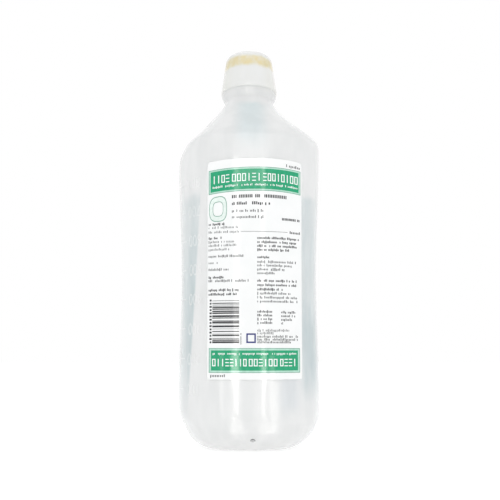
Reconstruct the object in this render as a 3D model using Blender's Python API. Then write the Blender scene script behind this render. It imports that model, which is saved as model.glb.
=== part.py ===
"""Infusion fluid bottle: a blown oval bottle with a welded cap, a label and a fold-out hanger.

The bottle stands on its base at z = 0 with its front towards -Y and its cap up.
Every length is in metres. Heights add up from the base: heel, wall, shoulder, neck, flange, mouth.
"""
import math

import bmesh
import bpy
import numpy as np

MM = 0.001

# Fits
TOUCH = 0.3 * MM
HANGER_PLAY = 1.2 * MM

# Oval body, seen from the front and from the side
HEEL_WIDTH = 91.4 * MM
WAIST_WIDTH = 89.3 * MM
SHOULDER_WIDTH = 95.4 * MM
HEEL_DEPTH = 77.6 * MM
WAIST_DEPTH = 76.0 * MM
SHOULDER_DEPTH = 80.6 * MM
OVAL_SQUARENESS = 2.35
ROUND_SQUARENESS = 2.0
BASE_WIDTH = 48.0 * MM
BASE_DEPTH = 38.0 * MM
HEEL_HEIGHT = 22.4 * MM
HEEL_SQUARENESS = 1.8
WALL_HEIGHT = 172.1 * MM
SHOULDER_HEIGHT = 35.9 * MM
SHOULDER_SIDE_PULL = 8.9 * MM
SHOULDER_NECK_PULL_OUT = 6.0 * MM
SHOULDER_NECK_PULL_DOWN = 15.7 * MM
BOTTLE_WALL = 1.0 * MM

# The left side of this bottle has slumped in at the shoulder and is pressed in at the heel
SHOULDER_SLUMP = 6.0 * MM
SHOULDER_SLUMP_RISE = 7.3 * MM
SHOULDER_SLUMP_SPREAD = 10.5 * MM
HEEL_DENT = 2.3 * MM
HEEL_DENT_DROP = 8.5 * MM
HEEL_DENT_SPREAD = 8.8 * MM

# Neck, weld flange and mouth
NECK_RADIUS = 16.3 * MM
NECK_LENGTH = 1.2 * MM
FLANGE_REACH = 2.4 * MM
FLANGE_THICKNESS = 5.0 * MM
FLANGE_TOP_LAND = 0.8 * MM
FLANGE_FULLNESS = 0.6
FLANGE_TURNS = (-65, -35, 0, 35, 65)
MOUTH_SETBACK = 1.3 * MM
MOUTH_HEIGHT = 6.5 * MM
MOUTH_WALL = 1.4 * MM

# Cap
CAP_OVERHANG = 0.4 * MM
CAP_HEIGHT = 26.4 * MM
CAP_RIM_HEIGHT = 2.6 * MM
CAP_TAPER = 3.5 * MM
CAP_EDGE_RADIUS = 4.2 * MM
CAP_EDGE_STEPS = 4
CAP_INNER_CHAMFER = 1.0 * MM
CAP_WALL = 1.1 * MM
CAP_TOP_THICKNESS = 2.5 * MM
PORT_RADIUS = 9.0 * MM

# Rubber stopper
STOPPER_THICKNESS = 7.6 * MM
STOPPER_PLUG_DEPTH = 3.0 * MM
STOPPER_BOSS_HEIGHT = 1.3 * MM
TARGET_RADIUS = 5.2 * MM
TARGET_GROOVE = 0.6 * MM

# Insert that clamps the stopper over the mouth
INSERT_WALL = 1.3 * MM
INSERT_WEB = 1.7 * MM
INSERT_SKIRT_DEPTH = 4.5 * MM
INSERT_BORE_RADIUS = 8.6 * MM

# Fill level and label
FILL_BELOW_SHOULDER = 29.4 * MM
LABEL_ABOVE_HEEL = 21.6 * MM
LABEL_BELOW_SHOULDER = 14.8 * MM
LABEL_HIGH_WIDTH = 58.4 * MM
LABEL_LOW_WIDTH = 57.0 * MM
LABEL_OFFSET = 3.6 * MM
LABEL_THICKNESS = 0.3 * MM

# Hanger and its pocket in the base
HANGER_WIDTH = 30.0 * MM
HANGER_LENGTH = 19.0 * MM
HANGER_THICKNESS = 2.0 * MM
HANGER_BAND = 4.3 * MM
HANGER_EDGE = 0.4 * MM
HANGER_SQUARENESS = 2.8
HINGE_RADIUS = 1.4 * MM
HINGE_Y = -4.0 * MM
HINGE_Z = 2.7 * MM
POCKET_DEPTH = 7.6 * MM
POCKET_SQUARENESS = 3.2
HINGE_RIB_THICKNESS = 2.2 * MM

# How finely the round forms are cut
BODY_SEGMENTS = 48
CAP_SEGMENTS = 40
POCKET_SEGMENTS = 32
HANGER_SEGMENTS = 40
HINGE_SEGMENTS = 16
LABEL_COLUMNS = 14
LABEL_ROWS = 8
HEEL_STEPS = 6
WALL_STEPS = 10
WALL_STEP_LEAN = 0.16
SHOULDER_STEPS = 10
SMOOTH_ANGLE = math.radians(35)

# A small step in angle, or in a part of a curve, for working out a surface's slope
NUDGE = 1e-4

# Heights that follow from the sizes above
SHOULDER_Z = HEEL_HEIGHT + WALL_HEIGHT
NECK_Z = SHOULDER_Z + SHOULDER_HEIGHT
FLANGE_Z = NECK_Z + NECK_LENGTH
FLANGE_TOP_Z = FLANGE_Z + FLANGE_THICKNESS
MOUTH_Z = FLANGE_TOP_Z + MOUTH_HEIGHT
CAP_Z = FLANGE_TOP_Z + TOUCH
CAP_TOP_Z = CAP_Z + CAP_HEIGHT
STOPPER_TOP_Z = CAP_TOP_Z - CAP_TOP_THICKNESS - TOUCH
STOPPER_Z = STOPPER_TOP_Z - STOPPER_THICKNESS
INSERT_TOP_Z = STOPPER_Z - TOUCH
FILL_Z = SHOULDER_Z - FILL_BELOW_SHOULDER
LABEL_LOW_Z = HEEL_HEIGHT + LABEL_ABOVE_HEEL
LABEL_HIGH_Z = SHOULDER_Z - LABEL_BELOW_SHOULDER

# Radii that follow from the sizes above
FLANGE_RADIUS = NECK_RADIUS + FLANGE_REACH
MOUTH_RADIUS = NECK_RADIUS - MOUTH_SETBACK
MOUTH_BORE = MOUTH_RADIUS - MOUTH_WALL
CAP_RIM_RADIUS = FLANGE_RADIUS + CAP_OVERHANG


def clear_scene():
    """Remove whatever objects the scene holds."""
    for item in list(bpy.data.objects):
        bpy.data.objects.remove(item, do_unlink=True)


def plastic(name, colour, roughness, metallic=0.0):
    """A Principled material with one colour, given as red, green and blue."""
    material = bpy.data.materials.new(name)
    material.use_nodes = True
    shader = material.node_tree.nodes["Principled BSDF"]
    shader.inputs["Base Color"].default_value = (*colour, 1.0)
    shader.inputs["Roughness"].default_value = roughness
    shader.inputs["Metallic"].default_value = metallic
    material.diffuse_color = (*colour, 1.0)
    return material


def add_object(name, vertices, faces, material=None):
    """Make a mesh object whose mesh already lies at its place."""
    mesh = bpy.data.meshes.new(name)
    mesh.from_pydata([tuple(point) for point in vertices], [], faces)
    mesh.shade_smooth()
    mesh.set_sharp_from_angle(angle=SMOOTH_ANGLE)
    item = bpy.data.objects.new(name, mesh)
    bpy.context.scene.collection.objects.link(item)
    if material:
        mesh.materials.append(material)
    return item


def make_tool(item):
    """Mark an object as a guide that only cuts or joins other objects."""
    item.hide_render = True
    item.display_type = "WIRE"
    return item


def boolean(item, tool, operation):
    """Join a tool to an object, or cut it away, with the exact solver."""
    modifier = item.modifiers.new(tool.name, "BOOLEAN")
    modifier.operation = operation
    modifier.solver = "EXACT"
    modifier.object = tool


def loft(name, rings, material=None):
    """Skin a stack of rings with equal point counts and close its first and last ring.

    The rings run up the outside, each one counter-clockwise seen from above.
    """
    ring_count, point_count = rings.shape[:2]
    faces = []
    for ring in range(ring_count - 1):
        low = ring * point_count
        high = low + point_count
        for point in range(point_count):
            after = (point + 1) % point_count
            faces.append((low + point, low + after, high + after, high + point))
    faces.append(tuple(reversed(range(point_count))))
    faces.append(tuple(range((ring_count - 1) * point_count, ring_count * point_count)))
    return add_object(name, rings.reshape(-1, 3), faces, material)


def revolve(name, profile, material=None):
    """Turn a closed outline of radius and height points about the Z axis.

    The outline runs clockwise in the radius and height plane: up the inside, down the outside.
    An outline whose ends lie on the axis gives a solid turned piece.
    """
    bm = bmesh.new()
    points = [bm.verts.new((radius, 0.0, height)) for radius, height in profile]
    on_axis = profile[0][0] == 0.0 and profile[-1][0] == 0.0
    edges = [bm.edges.new(pair) for pair in zip(points, points[1:])]
    if not on_axis:
        edges.append(bm.edges.new((points[-1], points[0])))
    bmesh.ops.spin(
        bm,
        geom=points + edges,
        axis=(0.0, 0.0, 1.0),
        cent=(0.0, 0.0, 0.0),
        steps=CAP_SEGMENTS,
        angle=2.0 * math.pi,
        use_merge=True,
    )
    bmesh.ops.remove_doubles(bm, verts=bm.verts, dist=0.01 * MM)
    bmesh.ops.recalc_face_normals(bm, faces=bm.faces)
    mesh = bpy.data.meshes.new(name)
    bm.to_mesh(mesh)
    bm.free()
    mesh.shade_smooth()
    mesh.set_sharp_from_angle(angle=SMOOTH_ANGLE)
    mesh.materials.append(material)
    item = bpy.data.objects.new(name, mesh)
    bpy.context.scene.collection.objects.link(item)
    return item


def ring_angles(count):
    """Evenly spaced angles round a ring."""
    return np.arange(count) * 2.0 * math.pi / count


def superellipse(half_width, half_depth, squareness, angles):
    """Points of an oval: 2 gives an ellipse, and more gives squarer corners."""
    cosine, sine = np.cos(angles), np.sin(angles)
    x = half_width * np.sign(cosine) * np.abs(cosine) ** (2.0 / squareness)
    y = half_depth * np.sign(sine) * np.abs(sine) ** (2.0 / squareness)
    return x, y


def heel_station(part):
    """Height, half width, half depth and squareness up the rounded heel, part 0 to 1."""
    turn = part * math.pi / 2.0
    out = math.sin(turn) ** (2.0 / HEEL_SQUARENESS)
    up = 1.0 - max(math.cos(turn), 0.0) ** (2.0 / HEEL_SQUARENESS)
    half_width = (BASE_WIDTH + (HEEL_WIDTH - BASE_WIDTH) * out) / 2.0
    half_depth = (BASE_DEPTH + (HEEL_DEPTH - BASE_DEPTH) * out) / 2.0
    return HEEL_HEIGHT * up, half_width, half_depth, OVAL_SQUARENESS


def waisted(low, waist, high, part):
    """A width that runs from low to high and is drawn in to the waist halfway."""
    drawn_in = (low + high) / 2.0 - waist
    return low + (high - low) * part - drawn_in * math.sin(math.pi * part) ** 2


def wall_station(part):
    """The same four values up the waisted wall."""
    half_width = waisted(HEEL_WIDTH, WAIST_WIDTH, SHOULDER_WIDTH, part) / 2.0
    half_depth = waisted(HEEL_DEPTH, WAIST_DEPTH, SHOULDER_DEPTH, part) / 2.0
    return HEEL_HEIGHT + WALL_HEIGHT * part, half_width, half_depth, OVAL_SQUARENESS


def shoulder_station(part):
    """The same four values up the shoulder, whose side view is one Bezier curve.

    The oval turns round on the way, so that it meets the neck as a circle.
    """
    side = SHOULDER_WIDTH / 2.0
    handles = (
        (side, SHOULDER_Z),
        (side, SHOULDER_Z + SHOULDER_SIDE_PULL),
        (NECK_RADIUS + SHOULDER_NECK_PULL_OUT, NECK_Z - SHOULDER_NECK_PULL_DOWN),
        (NECK_RADIUS, NECK_Z),
    )
    rest = 1.0 - part
    weights = (rest ** 3, 3.0 * rest ** 2 * part, 3.0 * rest * part ** 2, part ** 3)
    half_width = sum(weight * handle[0] for weight, handle in zip(weights, handles))
    height = sum(weight * handle[1] for weight, handle in zip(weights, handles))
    spread = (half_width - NECK_RADIUS) / (side - NECK_RADIUS)
    half_depth = NECK_RADIUS + (SHOULDER_DEPTH / 2.0 - NECK_RADIUS) * spread
    squareness = ROUND_SQUARENESS + (OVAL_SQUARENESS - ROUND_SQUARENESS) * spread
    return height, half_width, half_depth, squareness


def left_dent(height):
    """How far the left side stands in at a height: the slumped shoulder and the pressed heel."""
    slump_at = (height - SHOULDER_Z - SHOULDER_SLUMP_RISE) / SHOULDER_SLUMP_SPREAD
    dent_at = (height - HEEL_HEIGHT + HEEL_DENT_DROP) / HEEL_DENT_SPREAD
    return SHOULDER_SLUMP * math.exp(-slump_at ** 2) + HEEL_DENT * math.exp(-dent_at ** 2)


def body_ring(station, part, angles):
    """Points of the outer surface at one station of the heel, wall or shoulder."""
    height, half_width, half_depth, squareness = station(part)
    x, y = superellipse(half_width, half_depth, squareness, angles)
    x = np.where(x < 0.0, x * (1.0 - left_dent(height) / half_width), x)
    return np.stack([x, y, np.full_like(x, height)], axis=-1)


def offset_ring(station, part, inset):
    """A ring moved inwards from the outer surface, square to it, by the inset."""
    angles = ring_angles(BODY_SEGMENTS)
    low, high = max(part - NUDGE, 0.0), min(part + NUDGE, 1.0)
    along = body_ring(station, high, angles) - body_ring(station, low, angles)
    around = body_ring(station, part, angles + NUDGE) - body_ring(station, part, angles - NUDGE)
    normals = np.cross(around, along)
    normals /= np.linalg.norm(normals, axis=1, keepdims=True)
    return body_ring(station, part, angles) - inset * normals


def round_ring(radius, height):
    """A circle with as many points as the body's rings."""
    angles = ring_angles(BODY_SEGMENTS)
    x, y = radius * np.cos(angles), radius * np.sin(angles)
    return np.stack([x, y, np.full_like(x, height)], axis=-1)


def wall_parts():
    """Parts of the wall's height at its rings, closer together towards the slumped shoulder."""
    even = np.arange(WALL_STEPS + 1) / WALL_STEPS
    return even + WALL_STEP_LEAN * np.sin(math.pi * even)


def body_rings(inset):
    """Rings from the base up to the neck, moved inwards by the inset."""
    rings = [offset_ring(heel_station, step / HEEL_STEPS, inset) for step in range(HEEL_STEPS)]
    rings += [offset_ring(wall_station, part, inset) for part in wall_parts()[:-1]]
    rings += [
        offset_ring(shoulder_station, step / SHOULDER_STEPS, inset)
        for step in range(SHOULDER_STEPS + 1)
    ]
    return rings


def neck_outside():
    """Rings of the neck, the rounded weld flange and the mouth, going up."""
    half = FLANGE_THICKNESS / 2.0
    rings = [round_ring(NECK_RADIUS, FLANGE_Z)]
    for degrees in FLANGE_TURNS:
        turn = math.radians(degrees)
        swell = FLANGE_REACH * math.cos(turn) ** FLANGE_FULLNESS
        rings.append(round_ring(NECK_RADIUS + swell, FLANGE_Z + half + half * math.sin(turn)))
    rings.append(round_ring(NECK_RADIUS + FLANGE_TOP_LAND, FLANGE_TOP_Z))
    rings.append(round_ring(MOUTH_RADIUS, FLANGE_TOP_Z))
    rings.append(round_ring(MOUTH_RADIUS, MOUTH_Z))
    return rings


def neck_inside():
    """Rings of the mouth's bore, going down to where the neck widens."""
    return [
        round_ring(MOUTH_BORE, MOUTH_Z),
        round_ring(MOUTH_BORE, FLANGE_Z + FLANGE_THICKNESS / 2.0),
        round_ring(NECK_RADIUS - BOTTLE_WALL, FLANGE_Z),
    ]


def pocket_solid(name, grow, low, high):
    """A rounded block of the hanger's pocket, grown sideways, between two heights."""
    half_width = HANGER_WIDTH / 2.0 + HANGER_PLAY + grow
    front = HINGE_Y - HINGE_RADIUS - HANGER_PLAY - grow
    back = HINGE_Y + HANGER_LENGTH + HANGER_PLAY + grow
    x, y = superellipse(
        half_width, (back - front) / 2.0, POCKET_SQUARENESS, ring_angles(POCKET_SEGMENTS)
    )
    y = y + (back + front) / 2.0
    rings = [np.stack([x, y, np.full_like(x, height)], axis=-1) for height in (low, high)]
    return make_tool(loft(name, np.array(rings)))


def hinge_rib():
    """The rib under the pocket's roof that the hanger's root bar folds against."""
    half_width = HANGER_WIDTH / 2.0 - 2.0 * HANGER_PLAY
    half_depth = HINGE_RIB_THICKNESS / 2.0
    low = HINGE_Z + HINGE_RADIUS + TOUCH
    high = POCKET_DEPTH + BOTTLE_WALL / 2.0
    corners = ((-1, -1), (1, -1), (1, 1), (-1, 1))
    rings = [
        [(sx * half_width, HINGE_Y + sy * half_depth, height) for sx, sy in corners]
        for height in (low, high)
    ]
    return make_tool(loft("hinge_rib_form", np.array(rings)))


def make_bottle(material):
    """The blown bottle: one wall that runs up outside, over the lip and down inside."""
    inside = body_rings(BOTTLE_WALL)[::-1]
    rings = body_rings(0.0) + neck_outside() + neck_inside() + inside
    bottle = loft("bottle", np.array(rings), material)
    raised = pocket_solid(
        "pocket_walls_form", BOTTLE_WALL, BOTTLE_WALL / 2.0, POCKET_DEPTH + BOTTLE_WALL
    )
    boolean(bottle, raised, "UNION")
    boolean(bottle, pocket_solid("pocket_cut", 0.0, -POCKET_DEPTH, POCKET_DEPTH), "DIFFERENCE")
    boolean(bottle, hinge_rib(), "UNION")
    return bottle


def make_saline(material):
    """The liquid: it fills the bottle to the fill level, over the raised pocket."""
    inset = BOTTLE_WALL + TOUCH
    fill_part = (FILL_Z - HEEL_HEIGHT) / WALL_HEIGHT
    rings = [offset_ring(heel_station, step / HEEL_STEPS, inset) for step in range(HEEL_STEPS)]
    parts = [part for part in wall_parts() if part < fill_part] + [fill_part]
    rings += [offset_ring(wall_station, part, inset) for part in parts]
    rings[-1][:, 2] = FILL_Z
    saline = loft("saline", np.array(rings), material)
    pocket = pocket_solid("saline_pocket_cut", inset, -POCKET_DEPTH, POCKET_DEPTH + inset)
    boolean(saline, pocket, "DIFFERENCE")
    return saline


def cap_outer_radius(height):
    """The cap's outer radius: upright at the rim, then tapering evenly to the top."""
    rim_top = CAP_Z + CAP_RIM_HEIGHT
    risen = max(height - rim_top, 0.0) / (CAP_TOP_Z - rim_top)
    return CAP_RIM_RADIUS - CAP_TAPER * risen


def cap_inner_radius(height):
    """The radius inside the cap's wall."""
    return cap_outer_radius(height) - CAP_WALL


def make_cap_shell(material):
    """The tapered cap, open below and with a round port in its top."""
    under_top = CAP_TOP_Z - CAP_TOP_THICKNESS
    chamfer_z = under_top - CAP_INNER_CHAMFER
    edge_z = CAP_TOP_Z - CAP_EDGE_RADIUS
    outside = [(CAP_RIM_RADIUS, CAP_Z), (CAP_RIM_RADIUS, CAP_Z + CAP_RIM_HEIGHT)]
    outside.append((cap_outer_radius(edge_z), edge_z))
    for step in range(1, CAP_EDGE_STEPS + 1):
        turn = math.pi / 2.0 * step / CAP_EDGE_STEPS
        radius = cap_outer_radius(edge_z) - CAP_EDGE_RADIUS * (1.0 - math.cos(turn))
        outside.append((radius, edge_z + CAP_EDGE_RADIUS * math.sin(turn)))
    inside = [
        (PORT_RADIUS, CAP_TOP_Z),
        (PORT_RADIUS, under_top),
        (cap_inner_radius(under_top) - CAP_INNER_CHAMFER, under_top),
        (cap_inner_radius(chamfer_z), chamfer_z),
        (cap_inner_radius(CAP_Z + CAP_RIM_HEIGHT), CAP_Z + CAP_RIM_HEIGHT),
        (CAP_RIM_RADIUS - CAP_WALL, CAP_Z),
    ]
    return revolve("cap_shell", outside + inside, material)


def make_stopper(material):
    """The rubber stopper: a tapered disc with a boss in the port and a plug in the insert."""
    boss_z = STOPPER_TOP_Z + STOPPER_BOSS_HEIGHT
    chamfer_z = STOPPER_TOP_Z - CAP_INNER_CHAMFER
    boss_radius = PORT_RADIUS - TOUCH
    plug_radius = INSERT_BORE_RADIUS - TOUCH
    profile = [
        (0.0, STOPPER_Z - STOPPER_PLUG_DEPTH),
        (plug_radius, STOPPER_Z - STOPPER_PLUG_DEPTH),
        (plug_radius, STOPPER_Z),
        (cap_inner_radius(STOPPER_Z) - TOUCH, STOPPER_Z),
        (cap_inner_radius(chamfer_z) - TOUCH, chamfer_z),
        (cap_inner_radius(STOPPER_TOP_Z) - TOUCH - CAP_INNER_CHAMFER, STOPPER_TOP_Z),
        (boss_radius, STOPPER_TOP_Z),
        (boss_radius, boss_z),
        (TARGET_RADIUS + TARGET_GROOVE, boss_z),
        (TARGET_RADIUS, boss_z - TARGET_GROOVE),
        (TARGET_RADIUS - TARGET_GROOVE, boss_z),
        (0.0, boss_z),
    ]
    return revolve("rubber_stopper", profile, material)


def make_insert(material):
    """The insert: a web under the stopper, a wall on the mouth and a skirt inside it."""
    foot_z = MOUTH_Z + TOUCH
    web_z = INSERT_TOP_Z - INSERT_WEB
    skirt_radius = MOUTH_BORE - TOUCH
    outer_foot = cap_inner_radius(foot_z) - TOUCH
    profile = [
        (INSERT_BORE_RADIUS, INSERT_TOP_Z),
        (INSERT_BORE_RADIUS, web_z),
        (skirt_radius - INSERT_WALL, web_z),
        (skirt_radius - INSERT_WALL, MOUTH_Z - INSERT_SKIRT_DEPTH),
        (skirt_radius, MOUTH_Z - INSERT_SKIRT_DEPTH),
        (skirt_radius, foot_z),
        (outer_foot, foot_z),
        (cap_inner_radius(INSERT_TOP_Z) - TOUCH, INSERT_TOP_Z),
    ]
    return revolve("cap_insert", profile, material)


def front_points(x, part, proud):
    """Points on the front wall at side positions x, at a part of the wall's height."""
    height, half_width, half_depth, squareness = wall_station(part)
    left = half_width - left_dent(height)
    across = np.abs(x) / np.where(x < 0.0, left, half_width)
    y = -half_depth * (1.0 - across ** squareness) ** (1.0 / squareness)
    points = np.stack([x, y, np.full_like(x, height)], axis=-1)
    slope = np.gradient(y, x)
    normals = np.stack([slope, -np.ones_like(x), np.zeros_like(x)], axis=-1)
    normals /= np.linalg.norm(normals, axis=1, keepdims=True)
    return points + proud * normals


def make_label(material):
    """The label: a thin sheet that follows the waisted front wall, slightly narrower at its foot."""
    low, high = ((z - HEEL_HEIGHT) / WALL_HEIGHT for z in (LABEL_LOW_Z, LABEL_HIGH_Z))
    rings = []
    for row in range(LABEL_ROWS + 1):
        risen = row / LABEL_ROWS
        part = low + (high - low) * risen
        width = LABEL_LOW_WIDTH + (LABEL_HIGH_WIDTH - LABEL_LOW_WIDTH) * risen
        x = LABEL_OFFSET + np.linspace(-0.5, 0.5, LABEL_COLUMNS + 1) * width
        outer = front_points(x, part, TOUCH + LABEL_THICKNESS)
        inner = front_points(x, part, TOUCH)
        rings.append(np.concatenate([outer, inner[::-1]]))
    return loft("label", np.array(rings), material)


def make_hanger(material):
    """The hanger: a flat loop with a round root bar, turned about the bar's axis."""
    angles = ring_angles(HANGER_SEGMENTS)
    centre_y = HANGER_LENGTH / 2.0
    outer = np.stack(
        superellipse(HANGER_WIDTH / 2.0, HANGER_LENGTH / 2.0, HANGER_SQUARENESS, angles), axis=-1
    )
    inner = np.stack(
        superellipse(
            HANGER_WIDTH / 2.0 - HANGER_BAND,
            HANGER_LENGTH / 2.0 - HANGER_BAND,
            HANGER_SQUARENESS,
            angles,
        ),
        axis=-1,
    )
    half = HANGER_THICKNESS / 2.0
    edge = HANGER_EDGE / HANGER_BAND
    section = (
        (1.0, half - HANGER_EDGE),
        (1.0 - edge, half),
        (edge, half),
        (0.0, half - HANGER_EDGE),
        (0.0, HANGER_EDGE - half),
        (edge, -half),
        (1.0 - edge, -half),
        (1.0, HANGER_EDGE - half),
    )
    count, sides = len(angles), len(section)
    points = []
    for outward, height in section:
        plan = inner + (outer - inner) * outward
        points += [(x, y + centre_y, height) for x, y in plan]
    faces = []
    for side in range(sides):
        following = (side + 1) % sides
        for point in range(count):
            after = (point + 1) % count
            faces.append(
                (
                    side * count + point,
                    side * count + after,
                    following * count + after,
                    following * count + point,
                )
            )
    hanger = add_object("hanger", points, faces, material)
    hanger.location = (0.0, HINGE_Y, HINGE_Z)
    bar_length = HANGER_WIDTH - 2.0 * HANGER_BAND
    turns = ring_angles(HINGE_SEGMENTS)
    y, z = HINGE_RADIUS * np.cos(turns), HINGE_RADIUS * np.sin(turns)
    rings = [
        np.stack([np.full_like(y, side * bar_length / 2.0), y + HINGE_Y, z + HINGE_Z], axis=-1)
        for side in (-1.0, 1.0)
    ]
    bar = make_tool(loft("root_bar_form", np.array(rings)))
    boolean(hanger, bar, "UNION")
    return hanger


def main():
    """Build every piece of the bottle in its place."""
    clear_scene()
    frosted = plastic("frosted_plastic", (0.86, 0.89, 0.88), 0.38)
    cap_plastic = plastic("cap_plastic", (0.88, 0.88, 0.86), 0.35)
    liquid = plastic("clear_liquid", (0.78, 0.88, 0.90), 0.05)
    rubber = plastic("tan_rubber", (0.80, 0.70, 0.50), 0.6)
    paper = plastic("label_film", (0.94, 0.94, 0.93), 0.45)
    make_bottle(frosted)
    make_saline(liquid)
    make_insert(cap_plastic)
    make_stopper(rubber)
    make_cap_shell(cap_plastic)
    make_label(paper)
    make_hanger(frosted)


main()
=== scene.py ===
"""The looks of an infusion fluid bottle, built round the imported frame.

Lengths are in metres, +Z is up, and the printed front faces -Y. Every shape is a surface worked
out with numpy on a grid of two parameters, and every finish is a procedural material.
"""
import logging
import math
from dataclasses import dataclass, replace
from enum import Enum, auto
from functools import cached_property
from typing import Sequence

import bpy
import numpy as np
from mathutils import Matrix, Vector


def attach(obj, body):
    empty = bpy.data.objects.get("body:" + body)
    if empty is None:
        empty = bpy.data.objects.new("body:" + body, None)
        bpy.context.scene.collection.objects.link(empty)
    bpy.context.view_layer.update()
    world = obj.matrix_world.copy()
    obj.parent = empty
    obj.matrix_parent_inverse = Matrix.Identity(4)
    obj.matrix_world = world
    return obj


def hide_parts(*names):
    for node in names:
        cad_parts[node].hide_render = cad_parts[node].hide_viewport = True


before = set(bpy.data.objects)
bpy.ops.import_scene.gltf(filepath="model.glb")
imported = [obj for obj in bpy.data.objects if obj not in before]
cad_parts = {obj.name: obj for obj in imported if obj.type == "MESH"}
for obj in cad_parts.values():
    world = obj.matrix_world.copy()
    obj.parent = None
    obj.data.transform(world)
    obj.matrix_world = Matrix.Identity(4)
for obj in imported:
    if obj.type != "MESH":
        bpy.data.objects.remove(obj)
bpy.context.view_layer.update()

Array = np.ndarray
Socket = bpy.types.NodeSocket

MM = 0.001
TOUCH = 0.3 * MM
SHARP_DEGREES = 32.0
EVEN = (1.0, 1.0, 1.0)
STREAKED = (1.0, 1.0, 5.0)
FRONT_HALF = (-2.0 * MM, 2.0 * MM)
TURNING_BACK = (-8.0 * MM, 20.0 * MM)
CLOUDS = (0.35, 0.65)
GRAINS = (0.3, 0.7)
BOTTLE_BODY = "bottle_body"
HANGER_BODY = "hanger_body"

log = logging.getLogger("infusion_bottle")


class Ink(Enum):
    """The printing inks of the label, as shares of red, green and blue."""

    BLACK = (0.030, 0.030, 0.034)
    GREEN = (0.005, 0.322, 0.150)
    MINT = (0.420, 0.660, 0.550)
    WHITE = (0.880, 0.920, 0.890)
    PALE = (0.740, 0.820, 0.775)
    SAGE = (0.150, 0.340, 0.250)
    NAVY = (0.020, 0.030, 0.180)


class Reading(Enum):
    """Which way a line of print runs."""

    UPRIGHT = auto()
    UPSIDE_DOWN = auto()


class Flank(Enum):
    """Which side of its centre a tint is on, as the sign of its distances sideways."""

    LEFT = -1.0
    BOTH = 0.0
    RIGHT = 1.0


def stacked(*columns: object) -> Array:
    """Columns side by side on a last axis, each broadcast to their common shape."""
    return np.stack(np.broadcast_arrays(*columns), axis=-1)


def unit(vectors: Array) -> Array:
    """Vectors scaled to length one."""
    return vectors / np.linalg.norm(vectors, axis=-1, keepdims=True)


def placed(name: str, data: bpy.types.ID) -> bpy.types.Object:
    """A new object with the given data, linked to the scene.

    Args:
        name: the object's name.
        data: its mesh, curve, lamp or camera.

    Returns:
        The object.
    """
    item = bpy.data.objects.new(name, data)
    bpy.context.scene.collection.objects.link(item)
    return item


def evaluated(item: bpy.types.Object) -> bpy.types.Mesh:
    """A new mesh of an object as its modifiers or its text leave it."""
    graph = bpy.context.evaluated_depsgraph_get()
    return bpy.data.meshes.new_from_object(item.evaluated_get(graph))


def smooth(mesh: bpy.types.Mesh, sharp_degrees: float) -> None:
    """Shade a mesh smooth, and keep edges sharp that turn by more than an angle."""
    mesh.shade_smooth()
    mesh.set_sharp_from_angle(angle=math.radians(sharp_degrees))


@dataclass
class Surface:
    """Points and faces of one closed surface.

    Attributes:
        points: one row of x, y and z for each point.
        quads: one row of four point numbers for each face.
        caps: faces with another number of corners.
    """

    points: Array
    quads: Array
    caps: tuple = ()

    def volume(self) -> float:
        """Volume inside: a sixth of the sum of the triple products of all its triangles.

        Returns:
            The volume, negative where the faces point in.
        """
        triangles = [self.quads[:, (0, 1, 2)], self.quads[:, (0, 2, 3)]]
        for cap in self.caps:
            fan = np.array(cap)
            triangles.append(stacked(fan[0], fan[1:-1], fan[2:]))
        a, b, c = np.moveaxis(self.points[np.concatenate(triangles)], 1, 0)
        return float(np.einsum("ij,ij->", a, np.cross(b, c))) / 6.0

    def outward(self) -> "Surface":
        """The same surface with its faces pointing out.

        Returns:
            The surface.
        """
        if self.volume() >= 0.0:
            return self
        return Surface(self.points, self.quads[:, ::-1], tuple(cap[::-1] for cap in self.caps))

    def to_object(self, name: str, sharp_degrees: float = SHARP_DEGREES) -> bpy.types.Object:
        """Put the surface into a smooth-shaded mesh object.

        Args:
            name: the piece's name.
            sharp_degrees: edges that turn by more than this stay sharp.

        Returns:
            The object, linked to the scene.
        """
        facing = self.outward()
        mesh = bpy.data.meshes.new(name)
        faces = facing.quads.tolist() + [list(map(int, cap)) for cap in facing.caps]
        mesh.from_pydata(facing.points.tolist(), [], faces)
        smooth(mesh, sharp_degrees)
        return placed(name, mesh)


def joined(surfaces: Sequence[Surface]) -> Surface:
    """Several surfaces as one, each facing out and with its own points.

    Args:
        surfaces: closed surfaces.

    Returns:
        The one surface.
    """
    parts = [surface.outward() for surface in surfaces]
    starts = np.cumsum([0] + [len(part.points) for part in parts])
    quads = np.concatenate([part.quads + start for part, start in zip(parts, starts)])
    caps = tuple(
        tuple(int(corner + start) for corner in cap)
        for part, start in zip(parts, starts)
        for cap in part.caps
    )
    return Surface(np.concatenate([part.points for part in parts]), quads, caps)


def grid_faces(rows: int, columns: int, around: bool = False, closed: bool = False) -> Array:
    """Quads that join a grid of points, stored row by row.

    Args:
        rows: how many rows the grid has.
        columns: how many points each row has.
        around: whether each row closes on itself.
        closed: whether the last row joins the first.

    Returns:
        One row of four point numbers for each face.
    """
    row = np.arange(rows if closed else rows - 1)[:, None]
    column = np.arange(columns if around else columns - 1)[None, :]
    below, above, after = row * columns, (row + 1) % rows * columns, (column + 1) % columns
    return stacked(below + column, below + after, above + after, above + column).reshape(-1, 4)


def ring_angles(count: int) -> Array:
    """Evenly spaced angles round a ring."""
    return np.arange(count) * 2.0 * math.pi / count


def round_rings(outline: Array, count: int) -> Array:
    """Rings about the Z axis, one for each radius and height: x = r cos a, y = r sin a."""
    radius, height = outline[:, :1], outline[:, 1:]
    return stacked(radius * np.cos(ring_angles(count)), radius * np.sin(ring_angles(count)), height)


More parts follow.
